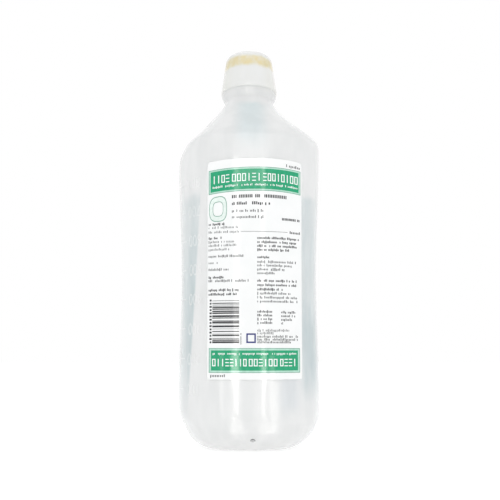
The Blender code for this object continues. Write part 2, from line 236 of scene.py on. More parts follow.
def loft(rings: Array) -> Surface:
    """A closed surface over a stack of rings, with a flat face on the first and the last ring.

    Args:
        rings: rows of ring points, as an array of rows, points and coordinates.

    Returns:
        The closed surface.
    """
    rows, columns = rings.shape[:2]
    low = tuple(range(columns))[::-1]
    high = tuple(range((rows - 1) * columns, rows * columns))
    return Surface(rings.reshape(-1, 3), grid_faces(rows, columns, around=True), (low, high))


def turned(outline: Array, segments: int, closed: bool) -> Surface:
    """An outline turned about the Z axis.

    Args:
        outline: rows of radius and height.
        segments: how many steps the full turn has.
        closed: whether the outline is a loop. Otherwise its two ends lie on the axis.

    Returns:
        The closed surface.
    """
    rows = outline if closed else outline[1:-1]
    points = round_rings(rows, segments).reshape(-1, 3)
    quads = grid_faces(len(rows), segments, around=True, closed=closed)
    if closed:
        return Surface(points, quads)
    poles = np.array([(0.0, 0.0, outline[0, 1]), (0.0, 0.0, outline[-1, 1])])
    low_pole, top = len(points), (len(rows) - 1) * segments
    steps = [(step, (step + 1) % segments) for step in range(segments)]
    low_fan = [(low_pole, after, step) for step, after in steps]
    high_fan = [(top + step, top + after, low_pole + 1) for step, after in steps]
    return Surface(np.concatenate([points, poles]), quads, tuple(low_fan + high_fan))


def sheet(front: Array, back: Array) -> Surface:
    """A thin closed sheet between two grids of points of one size.

    Args:
        front: the outer grid, as rows, columns and coordinates.
        back: the inner grid.

    Returns:
        The sheet, with its four edges closed.
    """
    rows, columns = front.shape[:2]
    count = rows * columns
    face = grid_faces(rows, columns)
    number = np.arange(count).reshape(rows, columns)
    rim = np.concatenate(
        [number[0, :-1], number[:-1, -1], number[-1, :0:-1], number[:0:-1, 0]]
    )
    following = np.roll(rim, -1)
    edge = stacked(following, rim, rim + count, following + count)
    points = np.concatenate([front.reshape(-1, 3), back.reshape(-1, 3)])
    return Surface(points, np.concatenate([face, face[:, ::-1] + count, edge]))


def rounded_outline(
    corners: Sequence[tuple], closed: bool, steps: int = 6, room: float = 0.6, apart: float = 1e-7
) -> Array:
    """An outline whose corners are rounded by arcs.

    Each arc is a rational quadratic curve between the points where the fillet touches the two
    edges. Its middle weight is the sine of half the corner's angle, which makes it circular.

    Args:
        corners: the radius, height and fillet of each corner, in order.
        closed: whether the outline is a loop.
        steps: how many points each arc has.
        room: the share of an edge that one fillet may take up.
        apart: the distance under which two points are one.

    Returns:
        Rows of radius and height.
    """
    points, fillets = np.array(corners)[:, :2], np.array(corners)[:, 2]
    back, ahead = np.roll(points, 1, axis=0) - points, np.roll(points, -1, axis=0) - points
    shorter = np.minimum(np.linalg.norm(back, axis=1), np.linalg.norm(ahead, axis=1))
    back, ahead = unit(back), unit(ahead)
    half_angle = np.arccos(np.clip(np.sum(back * ahead, axis=1), -1.0, 1.0)) / 2.0
    reach = np.minimum(fillets / np.tan(half_angle), room * shorter)[:, None]
    if not closed:
        reach[0] = reach[-1] = 0.0
    start, end = points + back * reach, points + ahead * reach
    along = np.linspace(0.0, 1.0, steps)[None, :, None]
    rest = 1.0 - along
    middle = 2.0 * along * rest * np.sin(half_angle)[:, None, None]
    total = rest ** 2 + middle + along ** 2
    arcs = rest ** 2 * start[:, None] + middle * points[:, None] + along ** 2 * end[:, None]
    outline = (arcs / total).reshape(-1, 2)
    kept = np.linalg.norm(outline - np.roll(outline, 1, axis=0), axis=1) > apart
    if not closed:
        kept[0] = True
    return outline[kept]


def bezier(handles: Sequence[Sequence[float]], part: Array) -> Array:
    """Points of a cubic Bezier curve: the handles weighted by (1-t)^3, 3(1-t)^2 t, 3(1-t)t^2, t^3.

    Args:
        handles: four rows of coordinates.
        part: positions along the curve, 0 to 1.

    Returns:
        One row of coordinates for each position.
    """
    rest = 1.0 - part
    weights = stacked(rest ** 3, 3 * rest ** 2 * part, 3 * rest * part ** 2, part ** 3)
    return weights @ np.asarray(handles)


def superellipse(half_width: Array, half_depth: Array, power: Array, angles: Array) -> tuple:
    """Points of an oval: |x / a|^n + |y / b|^n = 1 at the given angles.

    Args:
        half_width: a, in a shape that can be broadcast against the angles.
        half_depth: b.
        power: n, where 2 gives an ellipse and more gives squarer corners.
        angles: the angles round the oval.

    Returns:
        The x and y coordinates.
    """
    cosine, sine = np.cos(angles), np.sin(angles)
    x = half_width * np.sign(cosine) * np.abs(cosine) ** (2.0 / power)
    y = half_depth * np.sign(sine) * np.abs(sine) ** (2.0 / power)
    return x, y


def grid_normals(points: Array) -> Array:
    """Unit normals of a grid of rings: the cross product of its two directions."""
    around = np.roll(points, -1, axis=1) - np.roll(points, 1, axis=1)
    return unit(np.cross(around, np.gradient(points, axis=0)))


@dataclass(frozen=True)
class BottleForm:
    """Sizes of the blown bottle and the formulas of its outer surface.

    A station is a row of four values: height, half width, half depth and squareness.
    """

    heel_width: float = 91.4 * MM
    waist_width: float = 89.3 * MM
    shoulder_width: float = 95.4 * MM
    heel_depth: float = 77.6 * MM
    waist_depth: float = 76.0 * MM
    shoulder_depth: float = 80.6 * MM
    squareness: float = 2.35
    base_width: float = 48.0 * MM
    base_depth: float = 38.0 * MM
    heel_height: float = 22.4 * MM
    heel_squareness: float = 1.8
    wall_height: float = 172.1 * MM
    shoulder_height: float = 35.9 * MM
    side_pull: float = 8.9 * MM
    neck_pull_out: float = 6.0 * MM
    neck_pull_down: float = 15.7 * MM
    neck_radius: float = 16.3 * MM
    neck_length: float = 1.2 * MM
    slump: float = 6.0 * MM
    slump_rise: float = 7.3 * MM
    slump_spread: float = 10.5 * MM
    dent: float = 2.3 * MM
    dent_drop: float = 8.5 * MM
    dent_spread: float = 8.8 * MM

    @property
    def shoulder_z(self) -> float:
        """Height where the shoulder starts."""
        return self.heel_height + self.wall_height

    @property
    def neck_z(self) -> float:
        """Height where the neck starts."""
        return self.shoulder_z + self.shoulder_height

    def heel(self, part: Array) -> Array:
        """Stations of the rounded heel: a quarter of a superellipse from the base to the wall.

        Args:
            part: positions round the heel, 0 to 1.

        Returns:
            The stations.
        """
        turn = part * math.pi / 2.0
        out = np.sin(turn) ** (2.0 / self.heel_squareness)
        up = 1.0 - np.maximum(np.cos(turn), 0.0) ** (2.0 / self.heel_squareness)
        width = self.base_width + (self.heel_width - self.base_width) * out
        depth = self.base_depth + (self.heel_depth - self.base_depth) * out
        return stacked(self.heel_height * up, width / 2.0, depth / 2.0, self.squareness)

    def wall(self, part: Array) -> Array:
        """Stations of the wall: straight from heel to shoulder, less a sine-squared waist.

        Args:
            part: positions up the wall, 0 to 1.

        Returns:
            The stations.
        """
        waist = np.sin(math.pi * part) ** 2

        def size(low: float, narrow: float, high: float) -> Array:
            """A width that is drawn in to the narrow value halfway up."""
            return low + (high - low) * part - ((low + high) / 2.0 - narrow) * waist

        width = size(self.heel_width, self.waist_width, self.shoulder_width)
        depth = size(self.heel_depth, self.waist_depth, self.shoulder_depth)
        height = self.heel_height + self.wall_height * part
        return stacked(height, width / 2.0, depth / 2.0, self.squareness)

    def shoulder(self, part: Array) -> Array:
        """Stations of the shoulder: one Bezier side view, and an oval that turns round.

        Args:
            part: positions up the shoulder, 0 to 1.

        Returns:
            The stations.
        """
        side = self.shoulder_width / 2.0
        handles = (
            (side, self.shoulder_z),
            (side, self.shoulder_z + self.side_pull),
            (self.neck_radius + self.neck_pull_out, self.neck_z - self.neck_pull_down),
            (self.neck_radius, self.neck_z),
        )
        half_width, height = bezier(handles, part).T
        spread = (half_width - self.neck_radius) / (side - self.neck_radius)
        half_depth = self.neck_radius + (self.shoulder_depth / 2.0 - self.neck_radius) * spread
        return stacked(height, half_width, half_depth, 2.0 + (self.squareness - 2.0) * spread)

    def stations(self, counts: Sequence[int], start: float = 0.0, end: float = 1.0) -> Array:
        """Stations up the whole side.

        Args:
            counts: how many the heel, the wall and the shoulder have, with both their ends.
            start: where they start on the heel, 0 to 1.
            end: where they end on the shoulder, 0 to 1.

        Returns:
            The stations, without doubles where the three meet.
        """
        heel = self.heel(np.linspace(start, 1.0, counts[0])[:-1])
        wall = self.wall(np.linspace(0.0, 1.0, counts[1])[:-1])
        return np.concatenate([heel, wall, self.shoulder(np.linspace(0.0, end, counts[2]))])

    def left_dent(self, height: Array) -> Array:
        """How far the left side stands in: two bell curves, at the shoulder and at the heel.

        Args:
            height: the heights.

        Returns:
            One distance for each height.
        """
        slump_at = (height - self.shoulder_z - self.slump_rise) / self.slump_spread
        dent_at = (height - self.heel_height + self.dent_drop) / self.dent_spread
        return self.slump * np.exp(-slump_at ** 2) + self.dent * np.exp(-dent_at ** 2)

    def rings(self, stations: Array, angles: Array) -> Array:
        """Points of the outer surface: one ring for each station.

        Args:
            stations: rows of height, half width, half depth and squareness.
            angles: the angles round each ring.

        Returns:
            An array of rings, points and coordinates.
        """
        height, half_width, half_depth, power = (column[:, None] for column in stations.T)
        x, y = superellipse(half_width, half_depth, power, angles)
        return stacked(np.where(x < 0.0, x * (1.0 - self.left_dent(height) / half_width), x), y, height)

    def front(self, x: Array, z: Array) -> Array:
        """Points of the front wall: y = -b (1 - |x / a|^n)^(1/n) at each x and z.

        Args:
            x: side positions.
            z: heights, in the same shape.

        Returns:
            The points, in the shape of x with three coordinates each.
        """
        station = self.wall((z - self.heel_height) / self.wall_height)
        half_width, half_depth, power = station[..., 1], station[..., 2], station[..., 3]
        half_width = np.where(x < 0.0, half_width - self.left_dent(z), half_width)
        return stacked(x, -half_depth * (1.0 - np.abs(x / half_width) ** power) ** (1.0 / power), z)

    def front_skin(self, x: Array, z: Array, proud: float, step: float = 0.05 * MM) -> Array:
        """Points that stand proud of the front wall, square to it.

        Args:
            x: side positions.
            z: heights, in the same shape.
            proud: the distance from the wall.
            step: how far apart the points are that give the wall's direction.

        Returns:
            The points, in the shape of x with three coordinates each.
        """
        here = self.front(x, z)
        aside, above = self.front(x + step, z) - here, self.front(x, z + step) - here
        return here + proud * unit(np.cross(aside, above))

    def flank(self, along: Array, z: Array, proud: Array, middle: float, nudge: float = 1e-3) -> Array:
        """Points on the wall measured round it from a middle angle, square to the wall.

        Args:
            along: distances round the wall, positive to a viewer's right.
            z: heights, in the same shape.
            proud: distances from the wall, in the same shape.
            middle: the angle where along is zero.
            nudge: the angle, and the millimetres, that give the wall's direction.

        Returns:
            The points, one row of coordinates each.
        """
        station = self.wall((z - self.heel_height) / self.wall_height)

        def at(angle: Array, shift: float = 0.0) -> Array:
            """The wall's point at an angle, shifted up."""
            return stacked(*superellipse(station[:, 1], station[:, 2], station[:, 3], angle), z + shift)

        speed = np.linalg.norm(at(middle + nudge) - at(middle), axis=-1) / nudge
        angle = middle + along / speed
        normal = np.cross(at(angle + nudge) - at(angle), at(angle, nudge * MM) - at(angle))
        return at(angle) + proud[:, None] * unit(normal)


class NodeTree:
    """Adds nodes to one material or world and joins them.

    In the names of sockets an underscore stands for a space. Patterns and axes are read at
    Object coordinates, so that they stay in place on a piece that moves.
    """

    def __init__(self, owner: bpy.types.ID) -> None:
        """Start the nodes of a new material or world.

        Args:
            owner: the material or world.
        """
        owner.use_nodes = True
        self.owner = owner
        self.nodes = owner.node_tree.nodes
        self.links = owner.node_tree.links

    @cached_property
    def place(self) -> Socket:
        """The Object coordinates of the point being shaded."""
        return self.add("TexCoord").outputs["Object"]

    def join(self, source: object, target: Socket) -> None:
        """Link a socket to a target, or set the target to a plain value.

        Args:
            source: a socket or a plain value.
            target: the socket that it goes to.
        """
        if isinstance(source, Socket):
            self.links.new(source, target)
        else:
            target.default_value = source

    def fill(self, node: bpy.types.Node, **values: object) -> None:
        """Set or link a node's sockets by name."""
        for name, value in values.items():
            self.join(value, node.inputs[name.replace("_", " ")])

    def add(self, kind: str, **values: object) -> bpy.types.Node:
        """Add a node of a kind, with its sockets set or linked.

        Args:
            kind: its type, without the prefix.
            values: a value or a source for each socket.

        Returns:
            The node.
        """
        node = self.nodes.new("ShaderNode" + kind)
        self.fill(node, **values)
        return node

    def shade(self, **values: object) -> None:
        """Set or link the Principled shader's sockets."""
        self.fill(self.nodes["Principled BSDF"], **values)

    def noise(
        self, size: float, detail: float = 2.0, stretch: Sequence[float] = EVEN, warp: float = 0.0
    ) -> Socket:
        """Cloudy noise from 0 to 1.

        Args:
            size: how wide its clouds are.
            detail: how many finer layers it has.
            stretch: how much longer the clouds are along each axis.
            warp: how much they are distorted.

        Returns:
            The noise's socket.
        """
        scale = tuple(1.0 / (size * axis) for axis in stretch)
        mapping = self.add("Mapping", Vector=self.place, Scale=scale)
        node = self.add(
            "TexNoise", Vector=mapping.outputs["Vector"], Scale=1.0, Detail=detail, Distortion=warp
        )
        return node.outputs["Fac"]

    def range(
        self, value: object, low: float, high: float, start: float = 0.0, end: float = 1.0
    ) -> Socket:
        """A value that runs smoothly from start to end as its source goes from low to high.

        Args:
            value: the source.
            low: where it starts to change.
            high: where it has changed, which may be the smaller of the two.
            start: the value up to low.
            end: the value from high on.

        Returns:
            The value's socket.
        """
        node = self.add("MapRange", Value=value, From_Min=low, From_Max=high, To_Min=start, To_Max=end)
        node.interpolation_type = "SMOOTHSTEP"
        return node.outputs["Result"]

    def maths(self, operation: str, first: object, second: object = 0.0) -> Socket:
        """One operation on two values.

        Args:
            operation: its name in Blender.
            first: a value or a socket.
            second: another.

        Returns:
            The result's socket.
        """
        node = self.add("Math")
        node.operation = operation
        self.join(first, node.inputs[0])
        self.join(second, node.inputs[1])
        return node.outputs["Value"]

    def product(self, first: object, *others: object) -> Socket:
        """Several values multiplied together.

        Args:
            first: a value or a socket.
            others: what it is multiplied by.

        Returns:
            The product's socket.
        """
        for other in others:
            first = self.maths("MULTIPLY", first, other)
        return first

    def mix(self, factor: object, first: object, second: object, blend: str = "MIX") -> Socket:
        """A colour between two colours, or one colour multiplied by another.

        A Mix node's colours are its inputs 6 and 7 and its output 2.

        Args:
            factor: 0 for the first and 1 for the second.
            first: a colour, or the socket of one.
            second: a colour, or the socket of one.
            blend: MIX or MULTIPLY.

        Returns:
            The colour's socket.
        """
        node = self.add("Mix", Factor=factor)
        node.data_type = "RGBA"
        node.blend_type = blend
        for value, socket in ((first, node.inputs[6]), (second, node.inputs[7])):
            self.join(value if isinstance(value, Socket) else (*value, 1.0), socket)
        return node.outputs[2]

    def either(self, kind: str, *sources: object) -> Socket:
        """A shader made of other sockets in order: MixShader takes a share first, AddShader none.

        Args:
            kind: the node's type.
            sources: what goes in.

        Returns:
            The shader's socket.
        """
        node = self.add(kind)
        for source, target in zip(sources, node.inputs):
            self.join(source, target)
        return node.outputs[0]

    def axis(self, name: str) -> Socket:
        """The X, Y or Z coordinate of the point being shaded."""
        return self.add("SeparateXYZ", Vector=self.place).outputs[name]

    def bump(self, *layers: tuple[object, float]) -> None:
        """Give the shader relief: pairs of a height from 0 to 1 and its depth.

        Args:
            layers: the pairs, the broadest first.
        """
        below = {}
        for height, depth in layers:
            below["Normal"] = self.add("Bump", Height=height, Distance=depth, **below).outputs["Normal"]
        self.shade(**below)


@dataclass(frozen=True)
class SoftTint:
    """A blurred tint of a milky wall, used both for what is seen through it from behind and for painted
    shade, painted refraction and a painted shadow.

    A pair of distances fades it in, or out when the first is the larger.

    Attributes:
        colour: what the wall's colour is multiplied by.
        low: the height where it starts.
        high: the height where it ends.
        fades: how far its lower and its upper edge fade.
        side: two distances sideways from its centre.
        centre: where its centre lies sideways.
        front: two positions along Y, between which it fades out.
        mottle: how patchy it is, from 0 to 1.
        grain: how much longer its patches are along each axis.
        arch: how far it bends down sideways, as a height for each squared distance.
        flank: the side of its centre that it is on.
        slant: how far the distances of side move in for each height.
        rim: two distances between which it fades out, and the share that is left of it.
        drift: how far its upper edge wanders at most.
        waves: how wide the waves of that edge are.
        patch: how wide its patches are.
    """

    colour: tuple
    low: float
    high: float
    fades: tuple
    side: tuple = ()
    centre: float = 0.0
    front: tuple = ()
    mottle: float = 0.0
    grain: tuple = EVEN
    arch: float = 0.0
    flank: Flank = Flank.BOTH
    slant: float = 0.0
    rim: tuple = ()
    drift: float = 8.0 * MM
    waves: float = 6.0 * MM
    patch: float = 4.0 * MM

    def applied(self, nodes: NodeTree, colour: Socket) -> Socket:
        """Tint a colour.

        Args:
            nodes: the material's nodes.
            colour: the wall's own colour.

        Returns:
            The tinted colour's socket.
        """
        foot, head = self.fades
        drift = nodes.product(nodes.noise(self.waves), min(head, self.drift))
        height = nodes.maths("ADD", nodes.axis("Z"), drift)
        side = nodes.maths("SUBTRACT", nodes.axis("X"), self.centre)
        if self.flank is Flank.BOTH:
            side = nodes.maths("ABSOLUTE", side)
        else:
            side = nodes.product(side, self.flank.value)
        if self.arch > 0.0:
            height = nodes.maths("ADD", height, nodes.product(side, side, self.arch))
        shares = [
            nodes.range(height, self.low, self.low + foot),
            nodes.range(height, self.high, self.high + head, 1.0, 0.0),
        ]
        if self.side:
            slanted = nodes.maths("ADD", side, nodes.product(nodes.axis("Z"), self.slant))
            shares.append(nodes.range(slanted, *self.side))
        if self.rim:
            inner, outer, left = self.rim
            shares.append(nodes.range(side, inner, outer, 1.0, left))
        if self.front:
            shares.append(nodes.range(nodes.axis("Y"), *self.front, 1.0, 0.0))
        if self.mottle > 0.0:
            patchy = nodes.noise(self.patch, stretch=self.grain)
            shares.append(nodes.range(patchy, *GRAINS, 1.0 - self.mottle))
        return nodes.mix(nodes.product(*shares), colour, self.colour, "MULTIPLY")


class Finish:
    """A procedural finish, which has a name."""

    name: str

    def paint(self, nodes: NodeTree) -> None:
        """Set the sockets of the finish's shader."""
        raise NotImplementedError

    def material(self) -> bpy.types.Material:
        """Build the procedural material.

        Returns:
            The material.
        """
        nodes = NodeTree(bpy.data.materials.new(self.name))
        self.paint(nodes)
        return nodes.owner


@dataclass(frozen=True)
class MilkyPlastic(Finish):
    """Frosted, translucent blown or moulded plastic.

    Attributes:
        name: the material's name.
        pale: its lighter colour.
        deep: its slightly darker colour, in drifting clouds.
        see_through: the share of light that passes, from 0 to 1.
        roughness: the mean roughness of its milky bulk.
        skin_gloss: how much of a smooth skin it has, from 0 to 1.
        skin_roughness: the roughness of that skin.
        density: its index of refraction.
        waves: the depth of the broad unevenness of the wall.
        drawn: the depth of the fine lines along its height, where the hot plastic was drawn.
        tints_and_painted_shade: tints of what is seen through it, and painted shade, painted refraction
            and a painted shadow.
    """

    name: str
    pale: tuple = (0.985, 0.985, 0.980)
    deep: tuple = (0.935, 0.940, 0.935)
    see_through: float = 0.28
    roughness: float = 0.34
    skin_gloss: float = 1.0
    skin_roughness: float = 0.10
    density: float = 1.46
    waves: float = 0.35 * MM
    drawn: float = 0.0
    tints_and_painted_shade: tuple = ()

    def paint(self, nodes: NodeTree) -> None:
        """A clouded, tinted bulk under a smooth skin, with waves, orange peel and fine grain.

        Args:
            nodes: the material's nodes.
        """
        cloud = nodes.noise(7.0 * MM, detail=3.0, stretch=(1.0, 1.0, 4.0))
        wave = nodes.noise(34.0 * MM, detail=1.0, stretch=(1.0, 1.0, 1.8))
        orange_peel = nodes.noise(2.2 * MM)
        grain = nodes.noise(0.35 * MM)
        colour = nodes.mix(nodes.range(cloud, *CLOUDS), self.deep, self.pale)
        # These tints carry what is seen through the wall and also painted shade.
        for tint in self.tints_and_painted_shade:
            colour = tint.applied(nodes, colour)
        nodes.shade(
            Base_Color=colour,
            Roughness=nodes.range(grain, *GRAINS, self.roughness - 0.04, self.roughness + 0.05),
            IOR=self.density,
            Transmission_Weight=self.see_through,
            Coat_Weight=self.skin_gloss,
            Coat_Roughness=self.skin_roughness,
            Coat_IOR=self.density,
        )
        layers = [(wave, self.waves), (orange_peel, 0.010 * MM), (grain, 0.002 * MM)]
        if self.drawn > 0.0:
            layers.append((nodes.noise(1.6 * MM, stretch=(1.0, 1.0, 50.0)), self.drawn))
        nodes.bump(*layers)


@dataclass(frozen=True)
class ClearLiquid(Finish):
    """Saline behind the frosted wall: pale in the middle, with painted bluish shade towards the flanks.
    """

    name: str = "clear_liquid_fill"
    middle: tuple = (0.86, 0.90, 0.90)
    flank: tuple = (0.76, 0.85, 0.87)
    fade: tuple = (26.0 * MM, 46.0 * MM)
    drift: float = 8.0 * MM

    def paint(self, nodes: NodeTree) -> None:
        """The pale colour and the flanks' painted bluish shade, blending sideways along a drifting line.

        Args:
            nodes: the material's nodes.
        """
        # Painted shade: the liquid turns bluish by its distance sideways from the middle.
        side = nodes.maths("ABSOLUTE", nodes.axis("X"))
        shade = nodes.maths("ADD", side, nodes.product(nodes.noise(30.0 * MM), self.drift))
        nodes.shade(
            Base_Color=nodes.mix(nodes.range(shade, *self.fade), self.middle, self.flank),
            Roughness=0.12,
            IOR=1.33,
            Transmission_Weight=0.25,
        )


@dataclass(frozen=True)
class TanRubber(Finish):
    """Mottled tan rubber with a fine matt skin."""

    name: str = "tan_rubber_disc"
    light: tuple = (0.96, 0.75, 0.30)
    dark: tuple = (0.84, 0.58, 0.18)

    def paint(self, nodes: NodeTree) -> None:
        """Mottled colour over a matt, slightly rough skin.

        Args:
            nodes: the material's nodes.
        """
        mottle = nodes.noise(5.0 * MM, detail=3.0, warp=0.6)
        skin = nodes.noise(0.25 * MM)
        nodes.shade(
            Base_Color=nodes.mix(nodes.range(mottle, *CLOUDS), self.dark, self.light),
            Roughness=nodes.range(skin, *GRAINS, 0.55, 0.70),
        )
        nodes.bump((mottle, 0.05 * MM), (skin, 0.01 * MM))


def film_crease(nodes: NodeTree) -> tuple[Socket, float]:
    """The faint creases of the label's film, which its inks follow too: relief and depth."""
    return nodes.noise(16.0 * MM, detail=1.0, stretch=(0.6, 1.0, 2.4)), 0.05 * MM


@dataclass(frozen=True)
class PrintedFilm(Finish):
    """Glossy white label film with faint wrinkles."""

    name: str = "label_film_white"
    colour: tuple = (0.905, 0.905, 0.900)
    tint: tuple = (0.885, 0.890, 0.885)
    roughness: float = 0.10

    def paint(self, nodes: NodeTree) -> None:
        """Two near whites in clouds, under an even gloss.

        Args:
            nodes: the material's nodes.
        """
        cloud = nodes.noise(9.0 * MM, detail=3.0)
        grain = nodes.noise(0.3 * MM, detail=1.0)
        nodes.shade(
            Base_Color=nodes.mix(nodes.range(cloud, *CLOUDS), self.tint, self.colour),
            Roughness=nodes.range(grain, *GRAINS, self.roughness - 0.03, self.roughness + 0.03),
        )
        nodes.bump(film_crease(nodes), (grain, 0.001 * MM))


@dataclass(frozen=True)
class PrintInk(Finish):
    """One printing ink, slightly uneven where it was laid on."""

    ink: Ink
    roughness: float = 0.10
    thin_gain: float = 1.12
    thin_lift: float = 0.006

    @property
    def name(self) -> str:
        """The material's name."""
        return "print_ink_" + self.ink.name.lower()

    def paint(self, nodes: NodeTree) -> None:
        """The ink's colour, and a slightly lighter one where it is thin.

        Args:
            nodes: the material's nodes.
        """
        lay = nodes.noise(1.8 * MM, detail=3.0)
        thin = tuple(min(part * self.thin_gain + self.thin_lift, 1.0) for part in self.ink.value)
        nodes.shade(
            Base_Color=nodes.mix(nodes.range(lay, 0.35, 0.70), self.ink.value, thin),
            Roughness=nodes.range(lay, *GRAINS, self.roughness - 0.02, self.roughness + 0.04),
        )
        nodes.bump(film_crease(nodes))


def dress(item: bpy.types.Object, finish: Finish, body: str = BOTTLE_BODY) -> None:
    """Give a piece its material and the body that it rides on.

    Args:
        item: the piece.
        finish: its finish.
        body: the CAD body's name.
    """
    item.data.materials.clear()
    item.data.materials.append(finish.material())
    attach(item, body)
    log.info("%s: %d faces on %s", item.name, len(item.data.polygons), body)


def combine(item: bpy.types.Object, *tools: tuple[Surface, str]) -> None:
    """Join or cut an object with closed surfaces, with exact Booleans, and keep the result.

    Args:
        item: the object to change.
        tools: pairs of a closed surface and UNION or DIFFERENCE.
    """
    cutters = []
    for number, (surface, operation) in enumerate(tools):
        cutter = surface.to_object(f"{item.name}_form_{number}")
        modifier = item.modifiers.new(cutter.name, "BOOLEAN")
        modifier.operation = operation
        modifier.solver = "EXACT"
        modifier.object = cutter
        cutters.append(cutter)
    result = evaluated(item)
    item.modifiers.clear()
    item.data = result
    for cutter in cutters:
        bpy.data.objects.remove(cutter, do_unlink=True)


@dataclass(frozen=True)
class HangerPocket:
    """The pocket in the base and the fold-out hanger's sizes."""

    width: float = 30.0 * MM
    length: float = 19.0 * MM
    thickness: float = 2.0 * MM
    band: float = 4.3 * MM
    squareness: float = 2.8
    section_squareness: float = 5.0
    play: float = 1.2 * MM
    bar_radius: float = 1.4 * MM
    hinge_y: float = -4.0 * MM
    hinge_z: float = 2.7 * MM
    depth: float = 7.6 * MM
    pocket_squareness: float = 3.2
    rib: float = 2.2 * MM
    rib_squareness: float = 8.0
    roof_fillet: float = 1.2 * MM
    roof_steps: int = 6
    columns: int = 96
    section_steps: int = 24
    bar_steps: int = 32

    def block(self, grow: float, low: float, high: float) -> Surface:
        """The pocket's rounded block, grown sideways, with a rounded roof edge.

        Args:
            grow: how much wider than the pocket it is on each side.
            low: its lower end.
            high: its roof.

        Returns:
            The closed block.
        """
        front = self.hinge_y - self.bar_radius - self.play
        back = self.hinge_y + self.length + self.play
        turn = np.linspace(0.0, math.pi / 2.0, self.roof_steps)
        inward = np.concatenate([[0.0], self.roof_fillet * (1.0 - np.cos(turn))])[:, None]
        height = np.concatenate([[low], high - self.roof_fillet * (1.0 - np.sin(turn))])[:, None]
        half_width = self.width / 2.0 + self.play + grow - inward
        half_depth = (back - front) / 2.0 + grow - inward
        x, y = superellipse(half_width, half_depth, self.pocket_squareness, ring_angles(self.columns))
        return loft(stacked(x, y + (front + back) / 2.0, height))

    def hinge_rib(self, roof: float) -> Surface:
        """The rib under the roof that the root bar folds against.

        Args:
            roof: the height of its upper end.

        Returns:
            The closed surface.
        """
        low = self.hinge_z + self.bar_radius + TOUCH
        half_width = self.width / 2.0 - 2.0 * self.play
        x, y = superellipse(half_width, self.rib / 2.0, self.rib_squareness, ring_angles(self.columns))
        return loft(stacked(x, y + self.hinge_y, np.array([[low], [roof]])))

    def loop(self) -> Surface:
        """The hanger's flat loop: a superellipse section carried round a superellipse plan.

        The section runs from the inner plan outline to the outer one and is rounded on all sides.

        Returns:
            The closed surface.
        """
        angles = ring_angles(self.columns)
        half, reach = self.width / 2.0, self.length / 2.0
        outer = np.array(superellipse(half, reach, self.squareness, angles))
        inner = np.array(superellipse(half - self.band, reach - self.band, self.squareness, angles))
        turns = ring_angles(self.section_steps)[:, None]
        across, height = superellipse(0.5, self.thickness / 2.0, self.section_squareness, turns)
        x, y = inner[:, None] + (outer - inner)[:, None] * (across + 0.5)
        points = stacked(x, y + reach + self.hinge_y, height + self.hinge_z)
        return Surface(points.reshape(-1, 3), grid_faces(self.section_steps, self.columns, True, True))

    def root_bar(self) -> Surface:
        """The round bar that the loop turns on: a circle carried along X.

        Returns:
            The closed surface.
        """
        half = self.width / 2.0 - self.band
        turns = ring_angles(self.bar_steps)
        y, z = self.bar_radius * np.cos(turns), self.bar_radius * np.sin(turns)
        return loft(stacked(np.array([[-half], [half]]), y + self.hinge_y, z + self.hinge_z))

    def build_hanger(self, finish: MilkyPlastic) -> None:
        """Build the fold-out hanger, which turns on its root bar.

        Args:
            finish: its plastic.
        """
        hanger = self.loop().to_object("hanger_loop")
        combine(hanger, (self.root_bar(), "UNION"))
        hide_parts("hanger")
        dress(hanger, finish, HANGER_BODY)


@dataclass(frozen=True)
class HeelPit:
    """The small round pit that the mould left in the front of the heel."""

    form: BottleForm
    place: tuple = (2.4 * MM, 7.9 * MM)
    radius: float = 1.4 * MM
    depth: float = 0.5 * MM
    reach: float = 2.0 * MM
    floor_fillet: float = 0.2 * MM
    tilt: float = math.radians(18.0)
    segments: int = 40
    search_steps: int = 400

    def cutter(self) -> Surface:
        """A short round post laid on the heel, and tilted so that it cuts deepest at its top.

        Returns:
            The closed surface.
        """
        corners = (
            (0.0, -self.depth, 0.0),
            (self.radius, -self.depth, self.floor_fillet),
            (self.radius, self.reach, 0.0),
            (0.0, self.reach, 0.0),
        )
        post = turned(rounded_outline(corners, closed=False), self.segments, closed=False)
        x, height = self.place
        stations = self.form.heel(np.linspace(0.0, 1.0, self.search_steps))
        near = int(np.argmin(np.abs(stations[:, 0] - height)))
        z, half_width, half_depth, power = stations[near - 1:near + 2].T
        y = -half_depth * (1.0 - (x / half_width) ** power) ** (1.0 / power)
        side, up = np.array([1.0, 0.0, 0.0]), unit(np.array([0.0, y[2] - y[0], z[2] - z[0]]))
        leaning_up = up * math.cos(self.tilt) + np.cross(side, up) * math.sin(self.tilt)
        axes = np.array([side, leaning_up, np.cross(side, leaning_up)])
        return replace(post, points=post.points @ axes + np.array([x, y[1], z[1]]))


